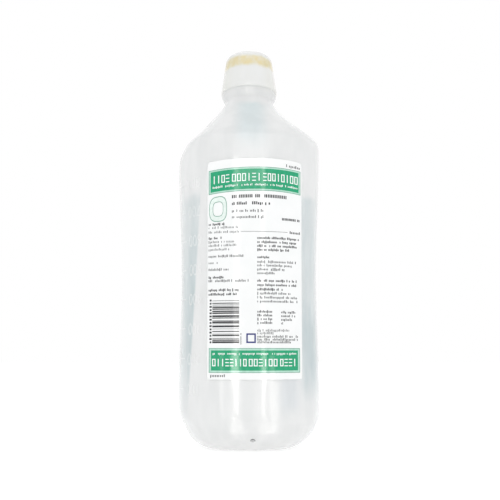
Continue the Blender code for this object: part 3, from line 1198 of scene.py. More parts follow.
@dataclass(frozen=True)
class BottleWall:
    """The blown bottle: a hollow wall from the base pocket to the mouth.

    Attributes:
        swell: the handles of the flange's side, out and up: the first from the neck's foot, and
            the others and the start of its top edge from the top of its rim.
        counts: how many stations the heel, the wall and the shoulder have.
        seam_counts: the same for the parting seam.
        seam_ends: where the seam starts on the heel and ends on the shoulder, 0 to 1.
    """

    form: BottleForm
    pocket: HangerPocket
    wall: float = 1.0 * MM
    flange_reach: float = 2.4 * MM
    flange_thickness: float = 5.0 * MM
    flange_fillet: float = 0.05 * MM
    swell: tuple = ((0.1 * MM, 1.2 * MM), (-0.5 * MM, -3.4 * MM), (0.0, -1.2 * MM), (0.0, -0.8 * MM))
    swell_steps: int = 22
    mouth_setback: float = 1.3 * MM
    mouth_height: float = 6.5 * MM
    mouth_wall: float = 1.4 * MM
    lip_fillet: float = 0.4 * MM
    columns: int = 192
    counts: tuple = (26, 84, 46)
    seam_counts: tuple = (24, 60, 40)
    seam_ends: tuple = (0.15, 0.97)
    seam_radius: float = 0.22 * MM
    seam_steps: int = 8
    seam_sharp_degrees: float = 80.0

    @property
    def flange_z(self) -> float:
        """Height of the flange's underside."""
        return self.form.neck_z + self.form.neck_length

    @property
    def flange_top(self) -> float:
        """Height of the flange's top."""
        return self.flange_z + self.flange_thickness

    @property
    def mouth_z(self) -> float:
        """Height of the lip."""
        return self.flange_top + self.mouth_height

    @property
    def bore(self) -> float:
        """Inner radius of the mouth."""
        return self.form.neck_radius - self.mouth_setback - self.mouth_wall

    def neck_outline(self) -> Array:
        """Radius and height up the neck, round the flange, over the lip and down the bore.

        The flange swells from the neck along one Bezier curve that carries on the shoulder's
        slope, and its top edge is rounded.

        Returns:
            Rows of radius and height.
        """
        foot = np.array([self.form.neck_radius, self.form.neck_z])
        rim = np.array([self.form.neck_radius + self.flange_reach, self.flange_top])
        start, rise, full, edge = np.array(self.swell)
        handles = (foot, foot + start, rim + rise, rim + full)
        side = bezier(handles, np.linspace(0.0, 1.0, self.swell_steps)[1:])
        mouth = self.form.neck_radius - self.mouth_setback
        corners = (
            (*(rim + edge), 0.0),
            (*rim, self.flange_fillet),
            (mouth, self.flange_top, self.lip_fillet),
            (mouth, self.mouth_z, self.lip_fillet),
            (self.bore, self.mouth_z, self.lip_fillet),
            (self.bore, self.flange_z + self.flange_thickness / 2.0, self.lip_fillet),
            (self.form.neck_radius - self.wall, self.flange_z, 0.0),
        )
        return np.concatenate([side, rounded_outline(corners, closed=False)])

    def surface(self) -> Surface:
        """The whole wall: up the outside, over the lip and down the inside.

        Returns:
            The closed surface.
        """
        outside = self.form.rings(self.form.stations(self.counts), ring_angles(self.columns))
        inside = (outside - self.wall * grid_normals(outside))[::-1]
        neck = round_rings(self.neck_outline(), self.columns)
        return loft(np.concatenate([outside, neck, inside[1:]]))

    def build(self, finish: MilkyPlastic) -> None:
        """Build the bottle with its pocket and hinge rib.

        Args:
            finish: its plastic.
        """
        bottle = self.surface().to_object("bottle_wall")
        depth, half = self.pocket.depth, self.wall / 2.0
        combine(
            bottle,
            (self.pocket.block(self.wall, half, depth + self.wall), "UNION"),
            (self.pocket.block(0.0, -depth, depth), "DIFFERENCE"),
            (self.pocket.hinge_rib(depth + half), "UNION"),
            (HeelPit(self.form).cutter(), "DIFFERENCE"),
        )
        smooth(bottle.data, SHARP_DEGREES)
        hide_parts("bottle")
        dress(bottle, finish)

    def build_seam(self, finish: MilkyPlastic) -> None:
        """Build the mould's parting seam: a small round bead carried up both narrow sides.

        Args:
            finish: its plastic.
        """
        stations = self.form.stations(self.seam_counts, *self.seam_ends)
        turns = ring_angles(self.seam_steps)[:, None]
        across = np.array([0.0, 1.0, 0.0])
        sides = []
        for angle in (0.0, math.pi):
            path = self.form.rings(stations, np.array([angle]))[:, 0]
            out = np.cross(across * math.cos(angle), unit(np.gradient(path, axis=0)))[:, None]
            circle = np.cos(turns) * out + np.sin(turns) * across
            sides.append(loft(path[:, None] + self.seam_radius * circle))
        seam = joined(sides).to_object("parting_seam", self.seam_sharp_degrees)
        dress(seam, finish)


@dataclass(frozen=True)
class Liquid:
    """The saline that fills the bottle to its level."""

    form: BottleForm
    pocket: HangerPocket
    inset: float = 1.3 * MM
    below_shoulder: float = 29.4 * MM
    meniscus: float = 1.1 * MM
    meniscus_reach: float = 1.6 * MM
    columns: int = 128
    heel_rows: int = 18
    wall_rows: int = 50
    top_rows: int = 26
    top_middle: float = 0.04
    sharp_degrees: float = 40.0

    @property
    def level(self) -> float:
        """Height of the liquid's top."""
        return self.form.shoulder_z - self.below_shoulder

    def surface(self) -> Surface:
        """The liquid: the wall's inside, and a top that climbs at its edge as exp(-distance).

        Returns:
            The closed surface.
        """
        fill = (self.level - self.form.heel_height) / self.form.wall_height
        heel = self.form.heel(np.linspace(0.0, 1.0, self.heel_rows)[:-1])
        wall = self.form.wall(np.linspace(0.0, fill, self.wall_rows))
        rings = self.form.rings(np.concatenate([heel, wall]), ring_angles(self.columns))
        rings = rings - self.inset * grid_normals(rings)
        rings[-1, :, 2] = self.level + self.meniscus
        share = np.linspace(1.0, self.top_middle, self.top_rows)[1:, None, None]
        middle = np.array([0.0, 0.0, self.level])
        top = middle + (rings[-1:] - middle) * share
        from_wall = (1.0 - share[..., 0]) * self.form.waist_width / 2.0
        top[..., 2] = self.level + self.meniscus * np.exp(-from_wall / self.meniscus_reach)
        return loft(np.concatenate([rings, top]))

    def build(self, finish: ClearLiquid) -> None:
        """Build the liquid over the raised pocket.

        Args:
            finish: the saline's finish.
        """
        liquid = self.surface().to_object("liquid_fill")
        depth = self.pocket.depth
        combine(liquid, (self.pocket.block(self.inset, -depth, depth + self.inset), "DIFFERENCE"))
        smooth(liquid.data, self.sharp_degrees)
        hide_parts("saline")
        dress(liquid, finish)


@dataclass(frozen=True)
class Closure:
    """The cap, the rubber stopper and the clamp ring, all turned about the bottle's axis."""

    bottle: BottleWall
    overhang: float = 0.4 * MM
    weld_gap: float = 0.02 * MM
    foot_reach: float = 0.075 * MM
    foot_fillet: float = 0.02 * MM
    roll: float = 0.7 * MM
    height: float = 26.4 * MM
    rim_height: float = 2.6 * MM
    rim_fillet: float = 2.0 * MM
    taper: float = 3.5 * MM
    wall: float = 1.1 * MM
    top: float = 2.5 * MM
    port_radius: float = 9.0 * MM
    stopper_thickness: float = 7.6 * MM
    plug_depth: float = 3.0 * MM
    boss_height: float = 1.3 * MM
    target_radius: float = 5.2 * MM
    target_groove: float = 0.6 * MM
    insert_wall: float = 1.3 * MM
    web: float = 1.7 * MM
    skirt_depth: float = 4.5 * MM
    insert_bore: float = 8.6 * MM
    edge: float = 4.2 * MM
    inner_edge: float = 1.7 * MM
    small_edge: float = 0.35 * MM
    soft_edge: float = 0.5 * MM
    fine_edge: float = 0.2 * MM
    segments: int = 160

    @property
    def cap_z(self) -> float:
        """Height of the cap's lower edge."""
        return self.bottle.flange_top + TOUCH

    @property
    def cap_top(self) -> float:
        """Height of the cap's top."""
        return self.cap_z + self.height

    @property
    def stopper_top(self) -> float:
        """Height of the stopper's shoulder, under the cap's top."""
        return self.cap_top - self.top - TOUCH

    @property
    def stopper_z(self) -> float:
        """Height of the stopper's underside."""
        return self.stopper_top - self.stopper_thickness

    def outer(self, height: float) -> float:
        """The cap's outer radius: upright at the rim, then tapering evenly.

        Args:
            height: a height on the cap.

        Returns:
            The radius there.
        """
        rim_top = self.cap_z + self.rim_height
        rim = self.bottle.form.neck_radius + self.bottle.flange_reach + self.overhang
        return rim - self.taper * max(height - rim_top, 0.0) / (self.cap_top - rim_top)

    def inner(self, height: float) -> float:
        """The radius inside the cap's wall."""
        return self.outer(height) - self.wall

    def cap_outline(self) -> Array:
        """The cap's section: rim, tapered wall, rounded top edge, port and inside.

        Returns:
            Rows of radius and height.
        """
        rim_top, under = self.cap_z + self.rim_height, self.cap_top - self.top
        foot, small = self.bottle.flange_top + self.weld_gap, self.small_edge
        return rounded_outline(
            (
                (self.outer(foot) - self.overhang + self.foot_reach, foot, self.foot_fillet),
                (self.outer(foot), foot + self.roll, self.roll),
                (self.outer(rim_top), rim_top, self.rim_fillet),
                (self.outer(self.cap_top), self.cap_top, self.edge),
                (self.port_radius, self.cap_top, small),
                (self.port_radius, under, small),
                (self.inner(under), under, self.inner_edge),
                (self.inner(rim_top), rim_top, self.rim_fillet),
                (self.inner(foot), foot, small),
            ),
            closed=True,
        )

    def stopper_outline(self) -> Array:
        """The stopper's section: plug, disc, boss and the groove of its target ring.

        Returns:
            Rows of radius and height.
        """
        low, top = self.stopper_z - self.plug_depth, self.stopper_top
        boss_z = top + self.boss_height
        boss, plug = self.port_radius - TOUCH, self.insert_bore - TOUCH
        target, groove = self.target_radius, self.target_groove
        return rounded_outline(
            (
                (0.0, low, 0.0),
                (plug, low, self.soft_edge),
                (plug, self.stopper_z, self.fine_edge),
                (self.inner(self.stopper_z) - TOUCH, self.stopper_z, self.soft_edge),
                (self.inner(top) - TOUCH, top, self.inner_edge),
                (boss, top, self.fine_edge),
                (boss, boss_z, self.soft_edge),
                (target + groove, boss_z, self.fine_edge),
                (target, boss_z - groove, self.fine_edge),
                (target - groove, boss_z, self.fine_edge),
                (0.0, boss_z, 0.0),
            ),
            closed=False,
        )

    def clamp_outline(self) -> Array:
        """The clamp ring's section: a web under the stopper, a wall and a skirt in the mouth.

        Returns:
            Rows of radius and height.
        """
        top_z, foot_z = self.stopper_z - TOUCH, self.bottle.mouth_z + TOUCH
        web_z, skirt_z = top_z - self.web, self.bottle.mouth_z - self.skirt_depth
        skirt = self.bottle.bore - TOUCH
        corners = (
            (self.insert_bore, top_z),
            (self.insert_bore, web_z),
            (skirt - self.insert_wall, web_z),
            (skirt - self.insert_wall, skirt_z),
            (skirt, skirt_z),
            (skirt, foot_z),
            (self.inner(foot_z) - TOUCH, foot_z),
            (self.inner(top_z) - TOUCH, top_z),
        )
        return rounded_outline([(*corner, self.small_edge) for corner in corners], closed=True)

    def build(self, cap: MilkyPlastic, ring: MilkyPlastic, rubber: TanRubber) -> None:
        """Build the three turned pieces.

        Args:
            cap: the cap's plastic.
            ring: the clamp ring's plastic.
            rubber: the stopper's.
        """
        pieces = (
            ("cap_cover", self.cap_outline(), True, cap, "cap_plastic", "cap_shell"),
            ("stopper_disc", self.stopper_outline(), False, rubber, "tan_rubber", "rubber_stopper"),
            ("clamp_ring", self.clamp_outline(), True, ring, "insert_plastic", "cap_insert"),
        )
        for name, outline, closed, finish, slot, node in pieces:
            piece = turned(outline, self.segments, closed).to_object(name)
            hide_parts(node)
            dress(piece, finish)


@dataclass(frozen=True)
class VolumeMarks:
    """The moulded volume scale on the left flank: plain numbers that read upside down.

    Attributes:
        middle: the angle round the wall where the numbers stand.
        tall: how much taller than its font a number is.
        curve_steps: how finely the curves of a number are cut up.
    """

    form: BottleForm
    count: int = 8
    lowest_z: float = 37.9 * MM
    spacing: float = 18.5 * MM
    middle: float = math.radians(224.6)
    letter_size: float = 7.6 * MM
    tall: float = 1.4
    relief: float = 0.18 * MM
    curve_steps: int = 3
    dash_from: float = 9.4 * MM
    dash_length: float = 6.0 * MM
    dash_height: float = 0.8 * MM
    dash_steps: int = 7
    sharp_degrees: float = 50.0

    def numeral(self, text: str, z: float) -> Surface:
        """Turn a number's outline into relief on the wall.

        Args:
            text: the number.
            z: the height of its middle.

        Returns:
            The raised number as one surface.
        """
        curve = bpy.data.curves.new("numeral", "FONT")
        curve.body = text
        curve.size = self.letter_size
        curve.align_x = "CENTER"
        curve.align_y = "CENTER"
        curve.extrude = self.relief
        curve.resolution_u = self.curve_steps
        item = placed("numeral", curve)
        mesh = evaluated(item)
        bpy.data.objects.remove(item, do_unlink=True)
        flat = np.empty(len(mesh.vertices) * 3)
        mesh.vertices.foreach_get("co", flat)
        across, up, lift = flat.reshape(-1, 3).T
        points = self.form.flank(-across, z - self.tall * up, lift, self.middle)
        faces = tuple(tuple(polygon.vertices) for polygon in mesh.polygons)
        bpy.data.meshes.remove(mesh)
        return Surface(points, np.empty((0, 4), dtype=int), faces)

    def dash(self, z: float) -> Surface:
        """A short raised bar beside a number.

        Args:
            z: the height of its middle.

        Returns:
            The closed surface.
        """
        along = np.linspace(0.0, 1.0, self.dash_steps) * self.dash_length + self.dash_from
        up = np.array([[-0.5], [0.5]]) * self.dash_height
        along, up = np.broadcast_arrays(-along, up)
        layers = [
            self.form.flank(along.ravel(), z + up.ravel(), np.full(along.size, lift), self.middle)
            for lift in (self.relief, -self.relief)
        ]
        return sheet(*(layer.reshape(*along.shape, 3) for layer in layers))

    def build(self, finish: MilkyPlastic) -> None:
        """Build the numbers, each with its dash.

        Args:
            finish: its plastic.
        """
        heights = self.lowest_z + self.spacing * np.arange(self.count)
        marks = [self.numeral(str(100 * (i + 1)), z) for i, z in enumerate(heights)]
        marks += [self.dash(z) for z in heights]
        dress(joined(marks).to_object("volume_marks", self.sharp_degrees), finish)


@dataclass(frozen=True)
class TextLine:
    """A line of generic small print, as plain blocks.

    Attributes:
        left: its left end, from the label's left edge.
        right: its right end.
        middle: the height of its middle, down from the label's top edge.
        height: the height of its tall blocks.
        weight: the share of the line's width that the blocks fill.
        capitals: whether all its blocks are tall.
        reading: which way it runs.
        pitch: how wide a step is, for each height.
        steps: the narrowest and the widest step, for each pitch.
        tall: the share of its blocks that are tall.
        short: how tall the others are.
        hanging: the share that reaches below the line.
        hang: how far they reach below it.
        gaps: the share of the blocks that are left out.
    """

    left: float
    right: float
    middle: float
    height: float = 1.5
    weight: float = 0.62
    capitals: bool = False
    reading: Reading = Reading.UPRIGHT
    pitch: float = 0.56
    steps: tuple = (0.8, 1.2)
    tall: float = 0.35
    short: float = 0.70
    hanging: float = 0.12
    hang: float = 0.22
    gaps: float = 0.16

    def blocks(self, draw: np.random.Generator) -> Array:
        """Rows of left, right, top and bottom of the blocks, in label millimetres.

        Args:
            draw: the label's random numbers.

        Returns:
            Rows of left, right, top and bottom.
        """
        tall_share, hanging_share = (1.0, 0.0) if self.capitals else (self.tall, self.hanging)
        count = max(int((self.right - self.left) / (self.height * self.pitch)), 2)
        steps = draw.uniform(*self.steps, count)
        steps *= (self.right - self.left) / steps.sum()
        start = self.left + np.concatenate([[0.0], np.cumsum(steps)[:-1]])
        tall = np.where(draw.random(count) < tall_share, 1.0, self.short)
        below = np.where(draw.random(count) < hanging_share, self.hang, 0.0)
        kept = draw.random(count) > self.gaps
        kept[0] = True
        bottom = self.middle + self.height / 2.0
        first, last = start[kept], (start + steps * self.weight)[kept]
        top, foot = (bottom - self.height * tall)[kept], (bottom + self.height * below)[kept]
        if self.reading is Reading.UPSIDE_DOWN:
            first, last = self.left + self.right - last, self.left + self.right - first
            top, foot = 2.0 * self.middle - foot, 2.0 * self.middle - top
        return stacked(first, last, top, foot)


@dataclass(frozen=True)
class Band:
    """One green title band: a line round a mint margin round a green field.

    Attributes:
        top: its upper edge, down from the label's top edge.
        bottom: its lower edge.
        reading: which way its words run.
        words: the left end, the right end and the number of signs of each word.
        notes: the left and the right end of each piece of the small line.
        gap: the share of a sign's step that is left free.
    """

    top: float
    bottom: float
    reading: Reading
    left: float = 0.8
    right: float = 57.7
    line: float = 0.35
    margin: float = 0.85
    stroke: float = 0.57
    title_height: float = 4.9
    title_drop: float = 4.0
    note_drop: float = 10.5
    note_height: float = 1.25
    note_weight: float = 0.6
    words: tuple = ((2.4, 12.8, 4), (14.4, 32.3, 6), (33.6, 55.1, 8))
    notes: tuple = ((2.5, 18.7), (20.3, 27.8), (28.5, 36.5), (38.0, 46.0), (47.2, 55.1))
    gap: float = 0.22

    def place(self, blocks: Array) -> Array:
        """Set blocks that are measured from the band's own corner on to the label.

        Args:
            blocks: rows of left, right, top and bottom.

        Returns:
            The rows, on the label.
        """
        left, right, top, bottom = blocks.T
        if self.reading is Reading.UPRIGHT:
            return stacked(self.left + left, self.left + right, self.top + top, self.top + bottom)
        return stacked(self.right - right, self.right - left, self.bottom - bottom, self.bottom - top)

    def title(self, draw: np.random.Generator) -> Array:
        """Plain signs in groups: boxes, bars and stacks.

        Args:
            draw: the label's random numbers.

        Returns:
            Rows of left, right, top and bottom.
        """
        line, top = self.stroke, self.title_drop
        foot = top + self.title_height
        middle = (top + foot - line) / 2.0
        rows = []
        for start, end, count in self.words:
            pitch = (end - start) / (count - self.gap)
            for number, sign in enumerate(draw.integers(0, 4, count)):
                left = start + number * pitch
                right = left + pitch * (1.0 - self.gap)
                if sign == 0:
                    centre = (left + right - line) / 2.0
                    rows.append((centre, centre + line, top, foot))
                    continue
                rows += [(left, right, top, top + line), (left, right, foot - line, foot)]
                if sign == 1:
                    rows.append((left, right, middle, middle + line))
                    continue
                rows.append((left, left + line, top + line, foot - line))
                rows.append((right - line, right, top + line, foot - line))
        return self.place(np.array(rows))

    def note(self, draw: np.random.Generator) -> Array:
        """The small line under the title, as blocks.

        Args:
            draw: the label's random numbers.

        Returns:
            Rows of left, right, top and bottom.
        """
        middle = self.note_drop + self.note_height / 2.0
        lines = [TextLine(*ends, middle, self.note_height, self.note_weight) for ends in self.notes]
        return self.place(np.concatenate([line.blocks(draw) for line in lines]))


def inset(edges: Sequence[float], by: float) -> tuple:
    """The left, right, top and bottom edge of a rectangle, moved in."""
    left, right, top, bottom = edges
    return left + by, right - by, top + by, bottom - by


@dataclass(frozen=True)
class Label:
    """The front label and everything printed on it, in millimetres from its top left corner.

    Attributes:
        sag_range: how far down the sides' sag starts to fade, and where it ends.
        rule: left, right, top and bottom of the thin rule, as those of seal and bar_edges are.
        digits: middle, top, step, number and height of the blocks up the left of the bars.
        small_digits: left, right, top, step, number and height of those to their right.
    """

    form: BottleForm
    width: float = 58.4
    low_width: float = 57.0
    offset: float = 3.6
    above_heel: float = 21.6
    below_shoulder: float = 14.8
    thickness: float = 0.3
    corner: float = 1.6
    corner_steps: int = 7
    rows: int = 88
    columns: int = 61
    sag: float = 1.5
    lean: float = 0.4
    sag_range: tuple = (20.0, 44.0)
    ink_lift: float = 0.02
    ink_thickness: float = 0.03
    patch_row: float = 4.0
    emblem_at: tuple = (6.6, 31.1)
    emblem_size: tuple = (5.5, 8.4)
    emblem_squareness: float = 3.0
    emblem_columns: int = 72
    emblem_rings: float = 9.0
    rule: tuple = (20.6, 49.4, 45.9, 46.1)
    seal: tuple = (24.0, 29.8, 108.2, 114.0)
    seal_line: float = 0.9
    bar_edges: tuple = (3.2, 19.6, 88.0, 114.8)
    bar_widths: tuple = (0.28, 0.28, 0.56, 0.84, 1.12)
    bar_draws: int = 60
    digits: tuple = (2.1, 87.6, 1.95, 14, 1.1)
    digit_widths: tuple = (1.0, 1.5)
    small_digits: tuple = (20.4, 21.0, 108.2, 0.62, 11, 0.36)
    digit_gaps: float = 0.15
    ink_sharp_degrees: float = 60.0
    seed: int = 11

    @property
    def top_z(self) -> float:
        """Height of the label's upper edge, in metres."""
        return self.form.shoulder_z - self.below_shoulder * MM

    @property
    def height(self) -> float:
        """The label's height, in millimetres."""
        return self.form.wall_height / MM - self.above_heel - self.below_shoulder

    def skin(self, across: Array, down: Array, lift: float) -> Array:
        """Points above the label's face, which narrows evenly towards its foot.

        Its upper part hangs lower at the sides: by the square of the distance from the middle,
        leaning a little to the left, and fading out below as 3 t^2 - 2 t^3.

        Args:
            across: millimetres from its left edge.
            down: millimetres from its top edge, in the same shape.
            lift: millimetres above its face.

        Returns:
            The points, in metres.
        """
        narrowing = 1.0 - (1.0 - self.low_width / self.width) * down / self.height
        x = (self.offset + (across - self.width / 2.0) * narrowing) * MM
        side = 2.0 * across / self.width - 1.0
        start, end = self.sag_range
        fade = np.clip((end - down) / (end - start), 0.0, 1.0)
        drop = (self.sag * side ** 2 - self.lean * side) * fade ** 2 * (3.0 - 2.0 * fade)
        z = self.top_z - (down + drop) * MM
        return self.form.front_skin(x, z, TOUCH + (self.thickness + lift) * MM)

    def film(self) -> Surface:
        """The label's film: a grid whose rows narrow along a circle at the four corners.

        Returns:
            The closed surface.
        """
        turn = np.linspace(0.0, math.pi / 2.0, self.corner_steps)[:-1]
        curved = self.corner * (1.0 - np.cos(turn))
        straight = np.linspace(self.corner, self.height - self.corner, self.rows)
        down = np.concatenate([curved, straight, (self.height - curved)[::-1]])[:, None]
        depth = np.minimum(np.minimum(down, self.height - down), self.corner)
        inward = self.corner - np.sqrt(self.corner ** 2 - (self.corner - depth) ** 2)
        side = np.linspace(-1.0, 1.0, self.columns)
        across = self.width / 2.0 + side * (self.width / 2.0 - inward)
        down = np.broadcast_to(down, across.shape)
        return sheet(self.skin(across, down, 0.0), self.skin(across, down, -self.thickness))

    def coat(self, across: Array, down: Array, layer: int = 0) -> tuple[Array, Array]:
        """The lower and the upper face of a coat of ink.

        Args:
            across: millimetres from the label's left edge.
            down: millimetres from its top edge, in the same shape.
            layer: how many coats of ink lie under it.

        Returns:
            The points of both faces, in metres.
        """
        low = self.ink_lift + layer * (self.ink_lift + self.ink_thickness)
        return self.skin(across, down, low), self.skin(across, down, low + self.ink_thickness)

    def patch(self, left: float, right: float, top: float, bottom: float) -> Surface:
        """A rectangle of ink that follows the label's curve.

        Args:
            left: its left edge.
            right: its right edge.
            top: its upper edge.
            bottom: its lower edge.

        Returns:
            The closed surface.
        """
        columns = max(int(right - left), 1) + 1
        rows = max(int((bottom - top) / self.patch_row), 1) + 1
        grid = np.meshgrid(np.linspace(left, right, columns), np.linspace(top, bottom, rows))
        low, high = self.coat(*grid)
        return sheet(high, low)

    def frame(self, edges: Sequence[float], line: float) -> list[Surface]:
        """Four strips of ink along the inside of a rectangle's edges.

        Args:
            edges: left, right, top and bottom.
            line: how wide the strips are.

        Returns:
            The strips.
        """
        left, right, top, bottom = edges
        return [
            self.patch(left, right, top, top + line),
            self.patch(left, right, bottom - line, bottom),
            self.patch(left, left + line, top + line, bottom - line),
            self.patch(right - line, right, top + line, bottom - line),
        ]

    def blocks(self, rows: Array, layer: int = 0) -> Surface:
        """Many small rectangles of ink as thin boxes.

        Args:
            rows: left, right, top and bottom of each.
            layer: how many coats of ink lie under them.

        Returns:
            All the boxes as one surface.
        """
        left, right, top, bottom = rows.T
        corners = stacked(left, right, right, left), stacked(bottom, bottom, top, top)
        points = np.concatenate(self.coat(*corners, layer), axis=1).reshape(-1, 3)
        box = np.array(
            [(4, 5, 6, 7), (3, 2, 1, 0), (0, 1, 5, 4), (1, 2, 6, 5), (2, 3, 7, 6), (3, 0, 4, 7)]
        )
        return Surface(points, (np.arange(len(rows))[:, None, None] * 8 + box).reshape(-1, 4))

    def emblem(self, outer: float, inner: float) -> Surface:
        """A part of the emblem's plain oval: a flat ring of ink between two superellipses.

        Args:
            outer: the outer edge's size, where 1 is the full emblem.
            inner: the inner edge's size.

        Returns:
            The closed ring of ink.
        """
        count = max(int((outer - inner) * self.emblem_rings), 1) + 1
        sizes = np.linspace(outer, inner, count)[:, None]
        angles = ring_angles(self.emblem_columns)
        x, y = superellipse(*self.emblem_size, self.emblem_squareness, angles)
        low, high = self.coat(self.emblem_at[0] + sizes * x, self.emblem_at[1] + sizes * y)
        loops = np.concatenate([high, low[::-1]])
        return Surface(loops.reshape(-1, 3), grid_faces(len(loops), self.emblem_columns, True, True))

    def text(self) -> list[TextLine]:
        """The lines of small print, with their places, sizes and weights.

        Returns:
            The lines, in the order in which they are drawn.
        """
        thin, plain, bold, small = 0.40, 0.50, 0.66, 1.45
        lines = [
            TextLine(15.2, 49.1, 23.9, 2.0, bold, True),
            TextLine(15.2, 41.2, 28.3, 1.9, bold),
            TextLine(15.2, 34.9, 33.0, 1.6, plain),
            TextLine(15.2, 34.9, 36.9, 1.6, plain),
            TextLine(46.0, 57.3, 37.9, 1.5, bold, True),
            TextLine(48.7, 57.8, 3.6, 1.7, plain),
            TextLine(1.5, 10.9, 133.8, 1.7, plain, reading=Reading.UPSIDE_DOWN),
        ]
        left_rows = (
            (10.8, 41.0, bold), (20.2, 43.2, thin), (19.8, 46.0, thin), (9.0, 49.7, bold),
            (17.0, 52.0, thin), (18.3, 54.3, thin), (13.9, 56.8, thin), (22.6, 61.0, plain),
            (6.9, 65.0, thin), (13.4, 69.2, plain), (10.3, 74.0, bold), (25.7, 76.2, plain),
            (19.5, 81.8, bold), (19.0, 84.4, bold),
        )
        right_rows = (
            (56.9, 49.9, bold), (55.0, 52.4, bold), (55.4, 54.8, bold), (51.2, 57.2, bold),
            (38.2, 61.8, bold), (55.0, 64.6, plain), (52.2, 66.8, plain), (47.8, 69.2, plain),
            (41.6, 71.6, plain), (55.3, 76.2, bold), (55.0, 78.8, bold), (46.5, 81.5, bold),
            (51.4, 83.9, plain), (55.6, 86.4, plain), (55.9, 88.8, plain),
            (50.6, 106.3, thin), (41.6, 108.0, thin), (56.0, 110.0, plain),
            (56.0, 111.8, plain), (51.6, 113.4, plain),
        )
        for left, rows in ((0.8, left_rows), (30.8, right_rows)):
            lines += [TextLine(left, right, down, small, weight) for right, down, weight in rows]
        for row, width in enumerate((9.0, 9.0, 6.8, 1.2)):
            down = 95.0 + 2.25 * row
            lines.append(TextLine(30.8, 40.0, down, small, 0.6))
            lines.append(TextLine(45.4, 45.4 + width, down + 0.3, small, 0.55))
        return [*lines, TextLine(50.8, 57.6, 45.9, 1.6, 0.6)]

    def bars(self, draw: np.random.Generator) -> Array:
        """A stack of plain bars of random widths.

        Args:
            draw: the label's random numbers.

        Returns:
            Rows of left, right, top and bottom.
        """
        left, right, top, bottom = self.bar_edges
        edges = np.cumsum(draw.choice(self.bar_widths, self.bar_draws))
        edges = top + edges[edges < bottom - top]
        count = len(edges) // 2 * 2
        return stacked(left, right, edges[:count:2], edges[1:count:2])

    def side_digits(self, draw: np.random.Generator) -> Array:
        """Blocks up the left of the bars and a short row to their right.

        Args:
            draw: the label's random numbers.

        Returns:
            Rows of left, right, top and bottom.
        """
        middle, top, step, count, height = self.digits
        tall = top + step * np.arange(count)
        half = draw.uniform(*self.digit_widths, count) / 2.0
        first = stacked(middle - half, middle + half, tall, tall + height)
        left, right, top, step, count, height = self.small_digits
        small = top + step * np.arange(count)
        second = stacked(left, right, small, small + height)
        return np.concatenate([first, second[draw.random(count) > self.digit_gaps]])

    def build(self, film: PrintedFilm) -> None:
        """Build the film and one piece for each ink.

        Args:
            film: the film's finish.
        """
        draw = np.random.default_rng(self.seed)
        face = self.film().to_object("label_sheet")
        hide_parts("label")
        dress(face, film)
        bands = (
            Band(5.6, 20.7, Reading.UPRIGHT),
            Band(
                117.0, 131.7, Reading.UPSIDE_DOWN, left=1.1, right=57.0, margin=1.0,
                title_height=4.4, title_drop=3.9,
                words=((2.4, 12.5, 4), (14.1, 31.5, 6), (32.8, 53.8, 8)),
                notes=((2.5, 18.2), (19.8, 27.1), (27.8, 35.6), (37.1, 44.9), (46.1, 53.8)),
            ),
        )
        prints: dict[Ink, list[Surface]] = {ink: [] for ink in Ink}
        for band in bands:
            edges = (band.left, band.right, band.top, band.bottom)
            inner = inset(edges, band.line)
            prints[Ink.SAGE] += self.frame(edges, band.line)
            prints[Ink.MINT] += self.frame(inner, band.margin)
            prints[Ink.GREEN].append(self.patch(*inset(inner, band.margin)))
            prints[Ink.WHITE].append(self.blocks(band.title(draw), 1))
            prints[Ink.WHITE].append(self.blocks(band.note(draw), 1))
        lines = [line.blocks(draw) for line in self.text()]
        lines.append(self.side_digits(draw))
        prints[Ink.BLACK].append(self.blocks(np.concatenate(lines)))
        prints[Ink.BLACK] += [self.patch(*bar) for bar in self.bars(draw)]
        prints[Ink.BLACK].append(self.patch(*self.rule))
        prints[Ink.SAGE] += [self.emblem(1.0, 0.94), self.emblem(0.60, 0.55)]
        prints[Ink.PALE].append(self.emblem(0.94, 0.60))
        prints[Ink.NAVY] += self.frame(self.seal, self.seal_line)
        for ink, surfaces in prints.items():
            layer = joined(surfaces).to_object("print_" + ink.name.lower(), self.ink_sharp_degrees)
            dress(layer, PrintInk(ink))


